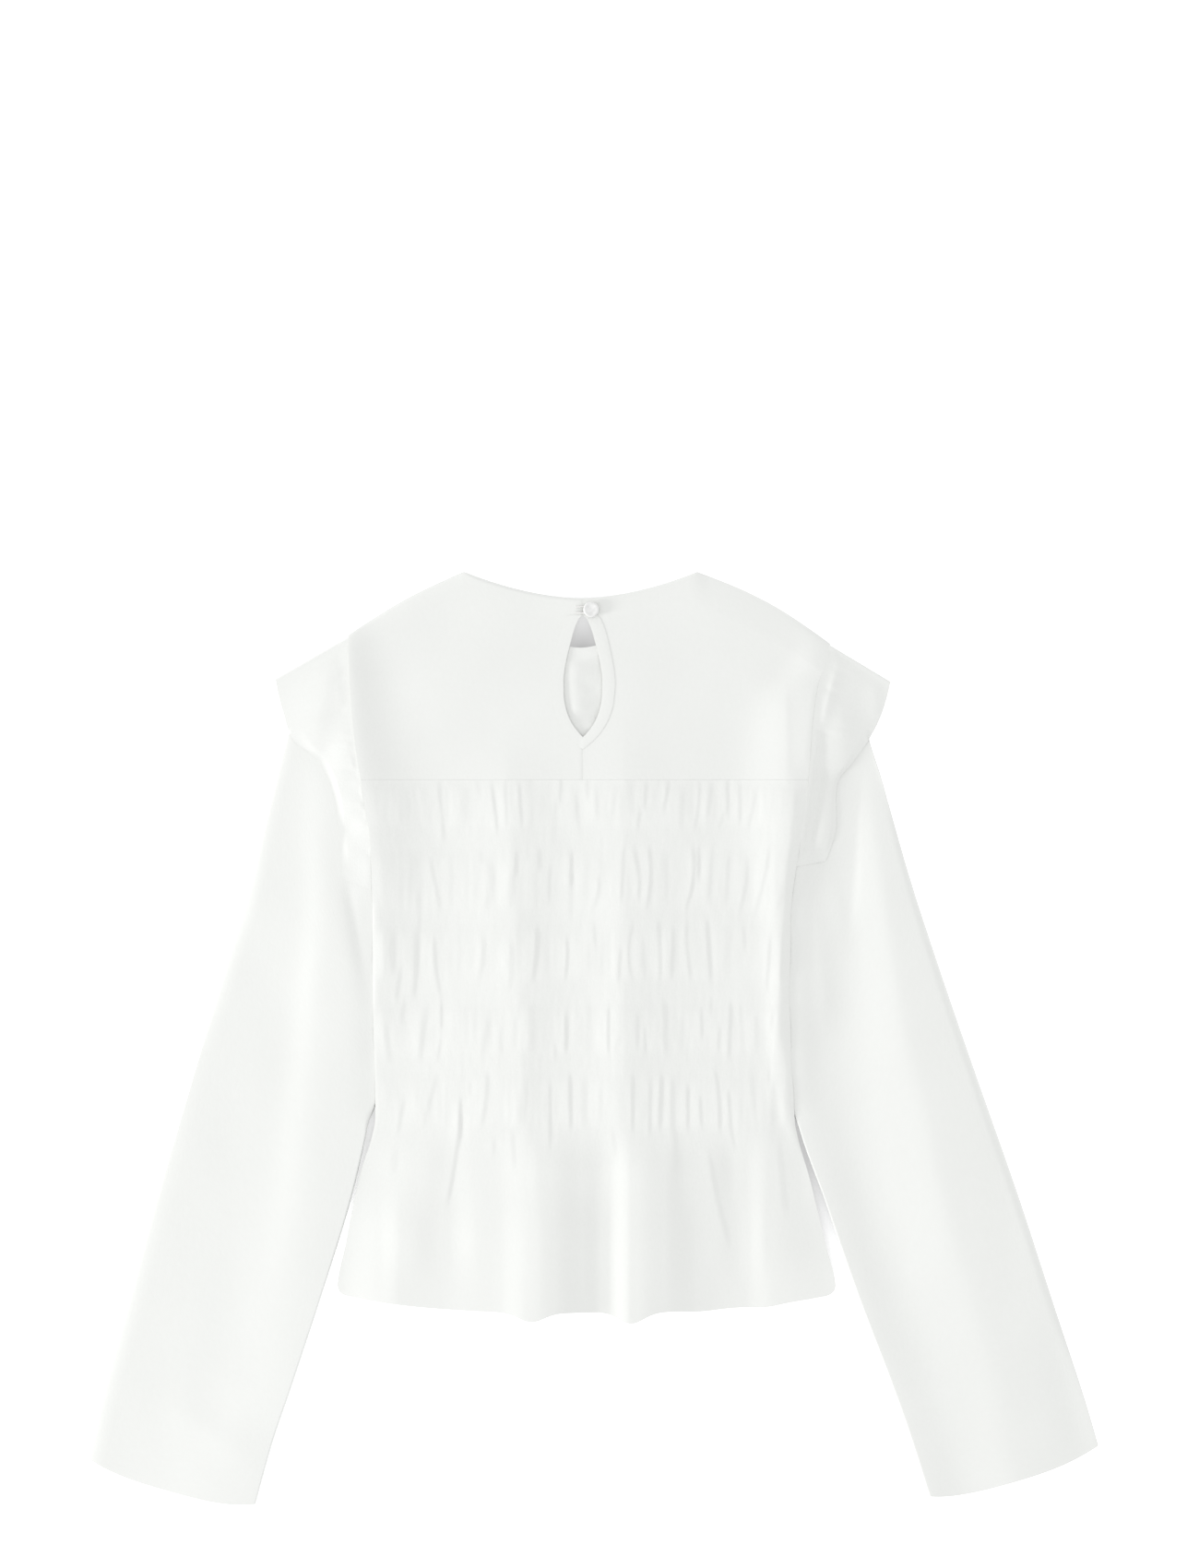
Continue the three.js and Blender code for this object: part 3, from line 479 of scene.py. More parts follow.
back = {
    # broad rolls of the laid cloth, as foldHeight takes them
    "rolls": [
        (-56, 146, 15, 294, 3.9, 46, 30, 0, 0.3, 0.3), (30, 130, 1, 310, 4, 44, 56, 0, 0.35, 0.3),
        (27, 236, 0, 196, 0.9, 14, 30, 0, 0.25, 0.2), (154, 158, -16, 232, 2.9, 32, 12, 0, 0.25, 0.75),
        (149, 88, 1, 64, 0.55, 12, 4, 0, 0.4, 0.3), (169, 86, -6, 54, 0.5, 9, 4, 0, 0.4, 0.4),
    ],
    # how high it stands along its side edges: drop, height, reach inwards
    "sideRise": {
        -1: [
            (46.5, 2.4, 14), (58, 3.6, 16), (75, 5, 17), (100, 5.6, 20), (130, 6.8, 25), (165, 7.8, 30),
            (205, 7.8, 30), (240, 6.6, 30), (290, 4.8, 28), (325, 2.8, 20), (350, 1.3, 17),
            (390, 1.2, 14), (405, 0.6, 8), (425, 0, 6), (531, 0, 6),
        ],
        1: [
            (53, 2.2, 18), (75, 2.9, 24), (88, 4.2, 31), (102, 5.4, 36), (135, 6.2, 38), (155, 5.6, 38),
            (180, 4.8, 34), (210, 4, 28), (260, 3, 18), (330, 2.8, 14), (390, 2.4, 12), (415, 0.6, 8),
            (440, 0, 8), (531, 0, 8),
        ],
    },
    "sideShape": {-1: 1.6, 1: 3.0},
    # how far it rolls down at the very edge, and over what reach
    "sideRoll": {
        -1: [
            (46.5, 0, 3), (235, 0, 3), (250, 0.5, 5), (300, 0.6, 5), (330, 0.2, 3), (395, 0.2, 3),
            (531, 0, 2),
        ],
        1: [
            (53, 0, 3), (170, 0, 3), (195, 0.8, 8), (215, 2.3, 11), (260, 2.4, 11), (320, 1.7, 8),
            (380, 1.3, 5), (398, 0.9, 4), (430, 0.4, 3), (531, 0, 2),
        ],
    },
    "shoulderReach": {-1: 12, 1: 22},
    "shoulderShape": {-1: 2.0, 1: 1.3},
    "shoulderStands": {-1: 0.6, 1: 0.12},
    "tuck": 1.5,  # turnings hidden under a seam
    "rowCount": 128,  # rows of mesh down the body
    # its first rows of mesh, tucked under the yoke's edge down to a drop: row, drop
    "seamRows": [(0, 152), (1, 153.02), (2, 153.06), (3, 153.16), (4, 154.6), (5, 156.8)],
    "lapEnd": 153.04,
    "waistShare": 0.7,  # of its rows of mesh, those above the waist
    # how far the hem hangs lower in its middle, then where along it and how far each flute hangs
    "hemHang": 13,
    "hemFlutes": [(0.39, 6.5), (0.59, 8), (0.73, 1), (0.861, 1.5)],
    # unevenness: cell across, cell down, seed, height, and for gathers a shift from row to row
    "unevenness": (34, 46, 5, 0.2),
    "puffs": (12, 60, 11, 0.25),
    "gathers": [(9, 60, 23, 0.24, 37), (3.4, 40, 17, 0.07, 53), (3, 9, 29, 0.05, 0)],
    "counted": (140, 54),  # the drop from which the puffed rows are counted, and their pitch
    "gathersEnd": (405, 440),
    "flutesStart": (402, 442),
    # drop where each puffed row starts and ends, how proud it stands
    "rows": [
        (157, 187, 0.7), (207, 248, 0.9), (261, 299, 0.9), (319, 353, 0.9), (370, 407, 0.8),
    ],
    # sharp creases of the gathers, row by row, as creaseHeight takes them
    "creases": [
        (-106, 155, 4, 41, 0.39, 0.9), (-121, 157, -1, 33, 0.18, 1.7), (-78, 153, 2, 13, 0.18, 1.1),
        (-67, 157, 4.5, 34, 0.44, 0.8, 0, 0.5, 0.15), (-57, 155, 1, 31, 0.35), (-47, 156, 2, 30, 0.41),
        (-40, 153, 2, 37, 0.28, 1.7), (-22, 168, 1, 32, 0.25, 1.7), (-16, 153, -1, 17, 0.39),
        (-5, 166, 2, 24, 0.21, 0.9), (3, 154, 0, 13, 0.3), (9.5, 159, 1, 21, 0.25, 1),
        (25, 156, -5, 32, 0.18, 1.1), (34, 153, 2, 25, 0.25, 1.7), (46.5, 156, -1.5, 17, 0.39),
        (42, 176, -2, 12, 0.35, 0.9), (63, 155, -4, 22, 0.41), (73, 162, -1, 25, 0.28, 1.2),
        (85.5, 156, -3.5, 32, 0.41, 0.8, 1), (94.5, 155, -2.5, 23, 0.37, 1.1),
        (104, 176, -4, 12, 0.28, 0.9), (106, 154, 0.5, 26, 0.39, 0.9), (115, 156, 0.5, 28, 0.44, 0.9),
        (126, 162, -5, 26, 0.32, 0.9, 1), (157, 163, 0, 17, 0.28, 1.1),

        (-112, 212, 7, 35, 0.35, 1), (-121, 235, 1, 29, 0.28, 1.2), (-97, 208, 0, 40, 0.18, 1.1),
        (-76, 206, 3, 8, 0.23, 0.9), (-67.5, 216, -3.5, 32, 0.35, 1.7, 2), (-49, 206, 0, 17, 0.44),
        (-51, 219, -4, 27, 0.28, 1.7), (-32, 204, 0, 15, 0.41, 1), (-33, 210, 1, 37, 0.3, 2.8),
        (-24.5, 218, -0.5, 25, 0.28), (-8.5, 207, 0, 23, 0.55), (-8.5, 222, -0.5, 32, 0.25, 1.1),
        (11.5, 225, -4.5, 22, 0.35, 0.8, 2), (30, 203, -1.5, 37, 0.35), (37, 204, 4, 37, 0.44, 0.8, 2),
        (48.5, 204, -1.5, 42, 0.48, 0.8, 2), (60, 208, 0, 35, 0.28, 2.2),
        (80.5, 203, -4.5, 43, 0.48, 0.8, 3), (85, 203, 0, 23, 0.48), (95, 203, -3, 39, 0.32, 1.1),
        (107, 208, -2, 35, 0.32, 1.1), (120.5, 212, -5.5, 37, 0.35, 0.9, 2),
        (136.5, 205, -9.5, 44, 0.32, 0.8, 1), (146, 238, -4, 11, 0.28, 1.1),

        (-122, 265, -2.5, 48, 0.53, 1.3, 1), (-109, 270, 4, 40, 0.44, 0.9, -1),
        (-134, 292, -3, 22, 0.35, 1.1), (-140, 268, 1, 28, 0.23, 1.7), (-73, 268, -4, 32, 0.41, 1.3, 2),
        (-52, 274, -2, 32, 0.37, 1.4, 1), (-33.5, 263, -3.5, 37, 0.6, 1.1, 1),
        (-12, 270, -1, 28, 0.48, 0.8, 1), (8, 259, 1, 16, 0.3, 0.9), (27.5, 278, -1.5, 23, 0.41),
        (37, 258, -1, 41, 0.32, 0.8, -3), (44, 270, 1, 30, 0.25, 1.1), (55.5, 257, 1.5, 41, 0.48, 1),
        (66.5, 263, -1.5, 35, 0.46, 0.9), (76, 260, 3, 37, 0.39, 0.9, -1), (91, 257, 3, 43, 0.48, 0.9),
        (107, 262, -1, 35, 0.3, 2), (118, 262, 1, 15, 0.3, 1), (137.5, 270, -2.5, 36, 0.41, 0.9),
        (148, 275, -2, 25, 0.25, 1.1),

        (-104, 315, 0, 21, 0.39), (-104, 343, -3, 16, 0.35), (-115, 321, -5, 37, 0.44, 1.4),
        (-131, 316, -2, 15, 0.3, 1.1), (-145, 333, 3, 26, 0.35, 1.4), (-60, 335, 0, 19, 0.35, 1.2),
        (-69, 330, -5, 25, 0.25, 1.3), (-49, 322, -1, 28, 0.18, 1.1), (-37, 318, -1, 34, 0.35, 1.9),
        (-12.5, 326, 0, 26, 0.58), (-21, 347, 1, 9, 0.28), (4, 318, 1, 34, 0.3, 1.7),
        (18.7, 321, 0, 32, 0.48), (27, 341, -4, 11, 0.23), (40, 325, 0, 23, 0.3, 0.9),
        (45.5, 336, 0, 17, 0.35), (60, 317, 1, 36, 0.44, 1.2), (72, 328, 0, 24, 0.28, 1.7),
        (87, 322, 0.5, 21, 0.41), (94, 314, 0, 11, 0.28), (100.5, 335, -1.5, 17, 0.39, 1),
        (108.5, 318, -1, 38, 0.46), (116, 320, 1, 32, 0.25, 1.1), (127, 328, 1, 24, 0.25, 1.4),
        (139.5, 322, -1.5, 14, 0.3),

        (-9.5, 371, 0.5, 37, 0.62, 1), (-24, 376, 0, 48, 0.44), (-42, 374, -3, 31, 0.37, 1.7),
        (-70, 370, -4, 36, 0.46, 1.1, 1), (-84, 376, 1, 7, 0.23, 0.9), (-90, 388, 0, 32, 0.58),
        (-107.5, 372, -9.5, 34, 0.28, 1), (-131.5, 388, -4, 23, 0.39, 1), (-99, 376, 0, 28, 0.16, 1.7),
        (2, 374, -1, 34, 0.28, 1.7), (12, 380, 1, 25, 0.18, 1.1), (36.5, 371, 0, 39, 0.51),
        (49.5, 374, -0.5, 38, 0.37, 0.9), (57.5, 372, -1, 36, 0.6, 0.9), (66, 373, 0, 39, 0.46, 1.3),
        (77, 379, 0, 30, 0.48), (86, 386, 1, 22, 0.39), (97, 366, 3.5, 43, 0.48, 0.9, 1),
        (107, 383, 1.5, 26, 0.46), (123, 366, 3, 34, 0.25, 1.4), (136.5, 365, 0, 11, 0.3),
        (139, 378, 2, 26, 0.28, 1.9),
    ],
    # the peplum's flutes: drop, then out and height of crests, hollows and bends from left to right
    "flutes": [
        (440, [
            (-164, 1), (-125, 3.9), (-112, 4.5), (-96, 4.3), (-80, 5.4), (-62, 6.4), (-42, 9.2),
            (-33, 10), (-22, 9.7), (0, 7.2), (14, 6), (20, 6.4), (35, 9.6), (42, 9.8), (60, 8.2),
            (75, 5.4), (94, 3.9), (112, 1.6), (120, 1.6), (134, 2.6), (142, 2.2), (165, 0.2),
        ]),
        (490, [
            (-178, 1.2), (-150, 4.4), (-134, 7.1), (-126, 7.3), (-106, 6.5), (-98, 6.6), (-78, 9.2),
            (-60, 10.4), (-40, 13.4), (-31, 13.9), (-20, 13.1), (0, 9.5), (13, 7.4), (19, 7.3),
            (35, 10.6), (41, 10.7), (60, 9), (82, 4.6), (100, 3), (116, 1.5), (122, 1.7), (134, 3.2),
            (140, 3.2), (183, 0.4),
        ]),
        (535, [
            (-181, 1.2), (-150, 5.8), (-136, 7.3), (-105, 7), (-75, 8.9), (-60, 10.1), (-42, 13.1),
            (-32, 13.6), (-20, 12.7), (0, 8.7), (13, 6.5), (19, 6.4), (35, 9.8), (41, 9.8), (60, 8),
            (84, 3.6), (104, 1.8), (120, 1.4), (140, 3.1), (152, 3.2), (185, 2.6),
        ]),
    ],
    "flutesCreases": [
        (-90, 400, -9, 62, 0.5, 1, 1), (93, 428, 14, 64, 0.4, 1.1, -1), (-65.5, 418, 0.5, 9, 0.3),
        (108.5, 410, 3.5, 13, 0.3), (-138, 424, -1, 18, 0.3, 1.6), (-52, 412, 2, 24, 0.3, 1),
        (68, 412, 0, 28, 0.35, 1.2), (144, 420, 5, 50, 0.35, 1.6), (22, 410, 2, 18, 0.25, 1),
    ],
}


def backHeight(out, drop):
    # height of the back's upper face where it isn't gathered
    out, drop = np.broadcast_arrays(np.asarray(out, float), np.asarray(drop, float))
    height = backTop + airUnder(out, drop) + foldHeight(back["rolls"], out, drop, 1.4)
    height = height + unevenness(out, drop, *back["unevenness"])
    for side in (-1, 1):
        toArm = np.abs(bodyHalf(side, drop) - side * out)
        rise, reach = readAtDrop(back["sideRise"][side], drop)
        height = height + rise * np.exp(-(toArm / reach) ** back["sideShape"][side])
        roll, rollReach = readAtDrop(back["sideRoll"][side], drop)
        height = height - roll * (1 - roundedEdge(toArm, rollReach))
    return height


keyhole = {
    "top": 32,
    "bottom": 122,
    # half width down the opening, by share of its length
    "opening": [
        (0, 0), (0.02, 2), (0.05, 3.6), (0.12, 6.2), (0.2, 8.3), (0.31, 10.8), (0.42, 12.9), (0.53, 14.1),
        (0.65, 14), (0.755, 12.6), (0.867, 9), (0.93, 5.3), (0.978, 1.7), (1, 0),
    ],
    "width": 10,  # of the binding, at the top
    "tail": 9,  # how far the binding goes on below the opening
    "openAtTop": 0.4,
    "crown": {-1: 0.04, 1: 0.14},
    "wall": 0.22,
    "stands": 0.05,  # above the yoke
}


def keyholeShape(share):
    return profileThrough(keyhole["opening"], np.clip(share, 0, 1))


yoke = {
    "neckShare": 0.5,  # how much of a half's top edge is neckline
    "shoulderHeight": 1.5,
    "neckHeight": 1.9,
    "neckReach": 2.2,  # over which the neckline turns in
    "lap": 0.62,  # how deep the left half's middle edge is tucked under the right half
}


def yokeShape(side):
    def top(across):
        highShare = yoke["neckShare"]
        neckCentre = -cut["neckOffset"] / cut["neckHalf"]
        neck = necklinePoint(cut["backNeck"], lerp(neckCentre, side, np.clip(across / highShare, 0, 1)))
        shoulder = shoulderPoint(side, np.clip((across - highShare) / (1 - highShare), 0, 1))
        return [np.where(across > highShare, b, a) for a, b in zip(neck, shoulder)]

    def centre(down):
        drop = lerp(cut["backNeck"], cut["yokeDrop"], down)
        share = (drop - keyhole["top"]) / (keyhole["bottom"] - keyhole["top"])
        half = keyholeShape(share)
        tuck = back["tuck"] * (1 - smoothStep(half, 0, 1)) if side < 0 else 0
        return side * (seamGap / 2 + half - tuck), drop

    def bottom(across):
        drop = cut["yokeDrop"]
        return side * lerp(seamGap / 2, bodyHalf(side, drop), across), drop + 0 * across

    plan = bridgeEdges(top, bottom, centre, armEdge(side))

    def shape(across, down):
        out, drop = plan(across, down)
        height = backHeight(out, drop)
        # the shoulder rounds down to the front, the neckline turns in
        (neckOut, _), (endOut, endDrop) = shoulderPoint(side, np.zeros(1)), shoulderPoint(side, np.ones(1))
        share = np.clip((out - neckOut) / (endOut - neckOut), 0, 1)
        toShoulder = np.maximum((drop - shoulderPoint(side, share)[1]) * cut["shoulderLean"][1], 0)
        inShoulder = smoothStep(np.abs(out), cut["neckHalf"] - 8, cut["neckHalf"] + 8)
        low = yoke["shoulderHeight"]
        shoulder = low + back["shoulderStands"][side] * (height - low) * smoothStep(share, 0.72, 1)
        bend = roundedEdge(toShoulder, back["shoulderReach"][side], back["shoulderShape"][side])
        height = lerp(height, lerp(shoulder, height, bend), inShoulder)
        neckShare = np.clip((out - cut["neckOffset"]) / cut["neckHalf"], -1, 1)
        toNeck = np.maximum(drop - necklinePoint(cut["backNeck"], neckShare)[1], 0)
        turned = lerp(yoke["neckHeight"], height, roundedEdge(toNeck, yoke["neckReach"]))
        height = lerp(turned, height, inShoulder)
        return out, drop, height - yoke["lap"] * smoothStep(out, -0.5, 0.4) * (side < 0)
    return shape


yokes = makePair("backYoke", "back_yoke", 110, 120, yokeShape, (168, 140), sheetWall)
print("back yoke made")


def bindingShape(across, down):
    share = 1 - np.abs(2 * down - 1)
    side = np.where(down < 0.5, -1, 1)
    half = keyholeShape(share) + keyhole["openAtTop"] * (1 - share)
    out = side * (half + across * keyhole["width"] * (1 - share ** 4))
    drop = lerp(keyhole["top"], keyhole["bottom"] + across * keyhole["tail"], share)
    crown = np.where(side < 0, keyhole["crown"][-1], keyhole["crown"][1]) * np.sin(math.pi * across) ** 0.7
    return out, drop, backHeight(out, drop) + keyhole["wall"] + keyhole["stands"] + crown


binding = makePiece("keyholeBinding", "keyhole_binding", 14, 190, bindingShape, (8, 200), keyhole["wall"])


def bodyHem(share):
    hang = back["hemHang"] * (1 - np.abs(2 * share - 1) ** 3)
    for place, deep in back["hemFlutes"]:
        hang = hang + deep * np.exp(-((share - place) / 0.035) ** 2)
    return cut["hemDrop"] + hang


def bodyShape(across, down):
    waist = back["waistShare"]
    rowDrops = [*back["seamRows"], (waist * back["rowCount"], cut["waistDrop"])]
    above = np.interp(down * back["rowCount"], *zip(*rowDrops))
    below = lerp(cut["waistDrop"], bodyHem(across), (down - waist) / (1 - waist))
    drop = np.where(down < waist, above, below)
    left, right = readAtDrop(cut["sides"], np.minimum(drop, cut["hemDrop"]))
    puffs = np.zeros_like(drop)
    inRow = np.zeros_like(drop)
    for start, end, height in back["rows"]:
        share = np.clip((drop - start) / (end - start), 0, 1)
        puffs = puffs + height * np.sin(math.pi * share) ** 0.6
        inRow = inRow + np.sin(math.pi * share) ** 0.5
    left = left + 0.25 * puffs
    right = right + 0.25 * puffs
    # the hem's corners are rounded off
    toSide = np.minimum(across, 1 - across) * (left + right)
    corner = (1 - roundedEdge(toSide, 7)) * smoothStep(down, 0.9, 1)
    drop = drop - 6 * corner
    out = lerp(-left, right, across)

    inside = smoothStep(toSide, 0, 9)
    height = backHeight(out, drop)
    height = height + puffs * (1 + unevenness(out, drop, *back["puffs"])) * lerp(0.35, 1, inside)
    rowNumber = np.floor((drop - back["counted"][0]) / back["counted"][1])
    broad, fine, strip = (unevenness(out + shift * rowNumber, drop, *cells)
                          for *cells, shift in back["gathers"])
    gathered = (1 - smoothStep(drop, *back["gathersEnd"])) * inside
    height = height + gathered * ((broad + fine) * np.clip(inRow, 0, 1) + strip)
    height = height + creaseHeight(back["creases"], out, drop) * lerp(0.4, 1, inside)
    flutes = profileThrough(back["flutes"][0][1], out)
    for (above, _), (below, points) in zip(back["flutes"], back["flutes"][1:]):
        flutes = lerp(flutes, profileThrough(points, out), smoothStep(drop, above, below))
    height = lerp(height, backTop + 0.2 + flutes, smoothStep(drop, *back["flutesStart"]))
    height = height + creaseHeight(back["flutesCreases"], out, drop) * inside
    height = height - (sheetWall + 0.05) * (drop < back["lapEnd"])
    return out, drop, np.maximum(height, 2.0)


backBody = makePiece("backBody", "back_body", 366, back["rowCount"], bodyShape, (420, 390), sheetWall)
print("back body made")


# the front, mostly hidden; its yoke shows in the keyhole

front = {
    "inset": 1.0,
    "top": 0.9,
    "keyholeRise": 1.65,  # how much nearer to the back it lies round the keyhole
    "nearReach": 48,
    "nearEnds": (130, 180),
    "shoulderShare": 0.3,  # how much of its top edge each shoulder is
    "folds": [
        (-7, 66, 2, 40, 1, 4, 18), (13, 64, -2, 46, -1.5, 17, 6), (-3, 78, 11, 10, -0.3, 4, 4),
        (-5, 95, 5, 7, 0.35, 5, 6), (7, 56, 1, 8, 0.4, 6, 5), (-128, 60, 30, 72, 0.7, 9, 8),
        (-72, 84, -8, 62, 0.5, 7, 9), (112, 58, 12, 70, 0.6, 8, 10), (74, 92, -8, 48, 0.4, 7, 7),
    ],
    # where the front lies on the table, soft ridges lift it here and there
    "bodyFolds": [
        (-98, 232, 26, 160, 1.5, 12, 14, 3), (-18, 262, -18, 156, 1.1, 9, 12, -2),
        (46, 218, 17, 166, 1.6, 13, 10, 4), (108, 296, -14, 150, 1, 9, 9),
        (-62, 436, -6, 86, 1.2, 12, 12), (-126, 408, -12, 97, 0.9, 10, 8), (72, 448, 8, 76, 1.3, 11, 13),
        (6, 452, -4, 66, 0.7, 9, 8),
    ],
    "rests": (185, 225),  # drops over which it comes down on the table
}


def frontHeight(out, drop):
    near = np.exp(-(out / front["nearReach"]) ** 4) * (1 - smoothStep(drop, *front["nearEnds"]))
    return front["top"] + 0.9 * airUnder(out, drop) + front["keyholeRise"] * near


def frontYokeShape(across, down):
    toNeck, inset = front["shoulderShare"], front["inset"]

    def top(u):
        start = shoulderPoint(-1, np.clip(1 - u / toNeck, 0, 1), inset)
        end = shoulderPoint(1, np.clip(1 - (1 - u) / toNeck, 0, 1), inset)
        neck = necklinePoint(cut["frontNeck"], np.clip((2 * u - 1) / (1 - 2 * toNeck), -1, 1))
        return np.select([u < toNeck, u > 1 - toNeck], [start, end], neck)

    left, right = armEdge(-1, inset), armEdge(1, inset)

    def bottom(u):
        return lerp(left(1.0)[0], right(1.0)[0], u), cut["yokeDrop"] + 0 * u

    out, drop = bridgeEdges(top, bottom, left, right)(across, down)
    return out, drop, frontHeight(out, drop) + foldHeight(front["folds"], out, drop)


def frontBodyShape(across, down):
    drop = lerp(cut["yokeDrop"] + seamGap, cut["hemDrop"] - front["inset"], down)
    left, right = readAtDrop(cut["sides"], drop)
    out = lerp(front["inset"] - left, right - front["inset"], across)
    laid = sheetWall + 0.02 + foldHeight(front["bodyFolds"], out, drop)
    return out, drop, lerp(frontHeight(out, drop), laid, smoothStep(drop, *front["rests"]))


frontYoke = makePiece("frontYoke", "front_yoke", 120, 60, frontYokeShape, (345, 145), sheetWall)
frontBody = makePiece("frontBody", "front_body", 120, 110, frontBodyShape, (340, 378), sheetWall)
print("front made")


# sleeves

sleeve = {
    "capRise": 1.7,  # how far the turnings of its cap lift it off the table
    "least": 1.1,  # thickness
    # drop and thickness
    "thickness": {
        -1: [
            (57, 1.4), (100, 1.6), (150, 2), (205, 2.4), (245, 4.6), (285, 4.2), (340, 2.2), (395, 1.7),
            (450, 2.2), (520, 2.8), (600, 3.8), (690, 4.2),
        ],
        1: [(61, 1.6), (100, 2.2), (150, 3.2), (200, 3.8), (240, 4.4), (300, 4.6), (690, 4.6)],
    },
    "headGap": -1.1,  # the head reaches under the back
    "cuffBow": 8,
    # outer edge out and drop, inner edge out and drop
    "edges": {
        -1: [
            (173.5, 57, 155.5, 236), (202, 85, 155.8, 250), (215, 116, 155.8, 266),
            (225.5, 156, 155.8, 292), (242.5, 224, 155.5, 333), (263, 292, 155, 387),
            (287, 373.5, 168.6, 455), (313, 462, 189.5, 525), (335.5, 543, 212, 594),
            (353, 604, 227.5, 640), (364, 652, 240, 685),
        ],
        1: [
            (183, 61, 154, 248), (205, 92, 154.8, 258), (210.5, 124, 154.8, 272),
            (221.5, 160, 154.5, 299), (241, 227.5, 154, 340), (264, 297.5, 156.6, 400),
            (289, 370, 178.5, 465), (320.5, 460, 202, 533), (347.5, 543, 224, 591),
            (368, 605.5, 239, 633), (379, 643, 254, 680),
        ],
    },
    # over what reach its section is rounded, at the outer edge, then by drop at the inner one
    "outerRound": {-1: 12, 1: 7},
    "innerRound": {
        -1: [(230, 9), (385, 8), (410, 0.8), (690, 1)],
        1: [(150, 9), (385, 8), (408, 0.8), (520, 0.8), (690, 1.5)],
    },
    "tuckUnder": 0.8,  # the inner edge lies so far under the body's side, down to the slit
    "slitDrop": {-1: 401, 1: 406},
    "joinedFrom": {-1: 198, 1: 196},  # from here down its top meets the back's edge
    # the left one's cloth steps up from the outer edge to the inner one: drop, where, over what
    # reach, how high, how much of it is lost again by the inner edge
    "step": [
        (80, -194, 14, 0.6, 0), (115, -195, 14, 0.9, 0), (160, -199, 12, 2.8, 0), (200, -200, 11, 3.2, 0),
        (235, -198, 10, 3.2, 0.8), (260, -199, 10, 3.2, 1.6), (300, -204, 9, 3, 0.9),
        (340, -207, 10, 3, 0.3), (380, -211, 11, 3, 0), (420, -216, 14, 3.4, 0.4),
        (460, -220, 14, 3.4, 0.4), (500, -226, 16, 3.2, 0.3), (540, -232, 20, 3.4, 0),
        (580, -239, 24, 4, 0), (620, -256, 26, 4.2, 0), (650, -280, 32, 4.2, 0), (690, -300, 34, 4, 0),
    ],
    # the right one's climbs from a valley to a crest, then falls slowly: drop, valley, crest, height
    "climb": [
        (110, 196, 208, 0.4), (150, 196, 210, 1.2), (200, 194, 215, 3), (260, 192, 223, 4.6),
        (300, 190, 229, 5.2), (340, 188, 236, 5.8), (380, 188, 246, 6.2), (420, 192, 255, 6.2),
        (460, 201, 264, 6.2), (500, 208, 275, 5.8), (540, 216, 286, 5), (580, 228, 298, 4.4),
        (620, 238, 306, 4.2), (650, 248, 312, 4), (690, 262, 324, 3.6),
    ],
    "climbBend": 0.45,  # share of the climb in which it gathers slope
    "valleyDip": 2.8,  # how far the valley lies below a flat sleeve
    "valleyReach": 25,  # from the inner edge to its depth
    "pastCrest": 0.045,  # slope beyond the crest
    "crestSoftness": 1.2,
    "unevenness": (26, 60),  # cell across and down
    "folds": {
        -1: [
            (-172, 232, 14, 68, -0.8, 5, 5, 0, 0.4, 0.5), (-300, 615, 60, 40, 0.6, 12, 12, 0, 0.6, 0.6),
        ],
        1: [
            (198, 146, -1, 102, -1.3, 7, 4, 0, 0.2, 0.5), (172, 250, 6, 80, 0.8, 8, 8, 0, 0.5, 0.5),
            (345, 560, 27, 95, -0.8, 16, 14, 0, 0.5, 0.5),
        ],
    },
    # ridges of the face that lies on the table
    "underFolds": {
        -1: [
            (-188, 204, -16, 128, 0.9, 9, 10, 2, 0.4, 0.4), (-226, 344, -34, 172, 1, 11, 9, -2, 0.4, 0.3),
            (-264, 474, -38, 132, 0.8, 10, 12, 0, 0.3, 0.5),
            (-200, 424, -32, 138, 0.7, 9, 9, 1, 0.4, 0.4),
        ],
        1: [
            (182, 212, 13, 106, 0.8, 9, 9, -1, 0.4, 0.4), (221, 304, 29, 154, 1, 10, 12, 2, 0.3, 0.4),
            (264, 436, 54, 168, 0.9, 12, 10, 0, 0.4, 0.4), (213, 466, 33, 112, 0.7, 8, 9, 0, 0.5, 0.4),
        ],
    },
}


def sleeveRelief(side, out, drop, toInner):
    if side < 0:
        at, reach, rise, lost = readAtDrop(sleeve["step"], drop)
        return rise * (0.5 + 0.5 * np.tanh((out - at) / reach)) - lost * np.exp(-(toInner / 22) ** 1.6)
    valley, crest, rise = readAtDrop(sleeve["climb"], drop)
    bend = sleeve["climbBend"]
    share = np.maximum((out - valley) / (crest - valley), 0)
    climb = np.where(share < bend, share ** 2 / (2 * bend), share - bend / 2) / (1 - bend / 2) * rise
    fall = rise - sleeve["pastCrest"] * (out - crest)
    hollow = sleeve["valleyDip"] * (1 - np.exp(-(toInner / sleeve["valleyReach"]) ** 2))
    # the lower of the two, so that the crest between them is rounded
    return -softMax(-climb, -fall, sleeve["crestSoftness"]) - hollow


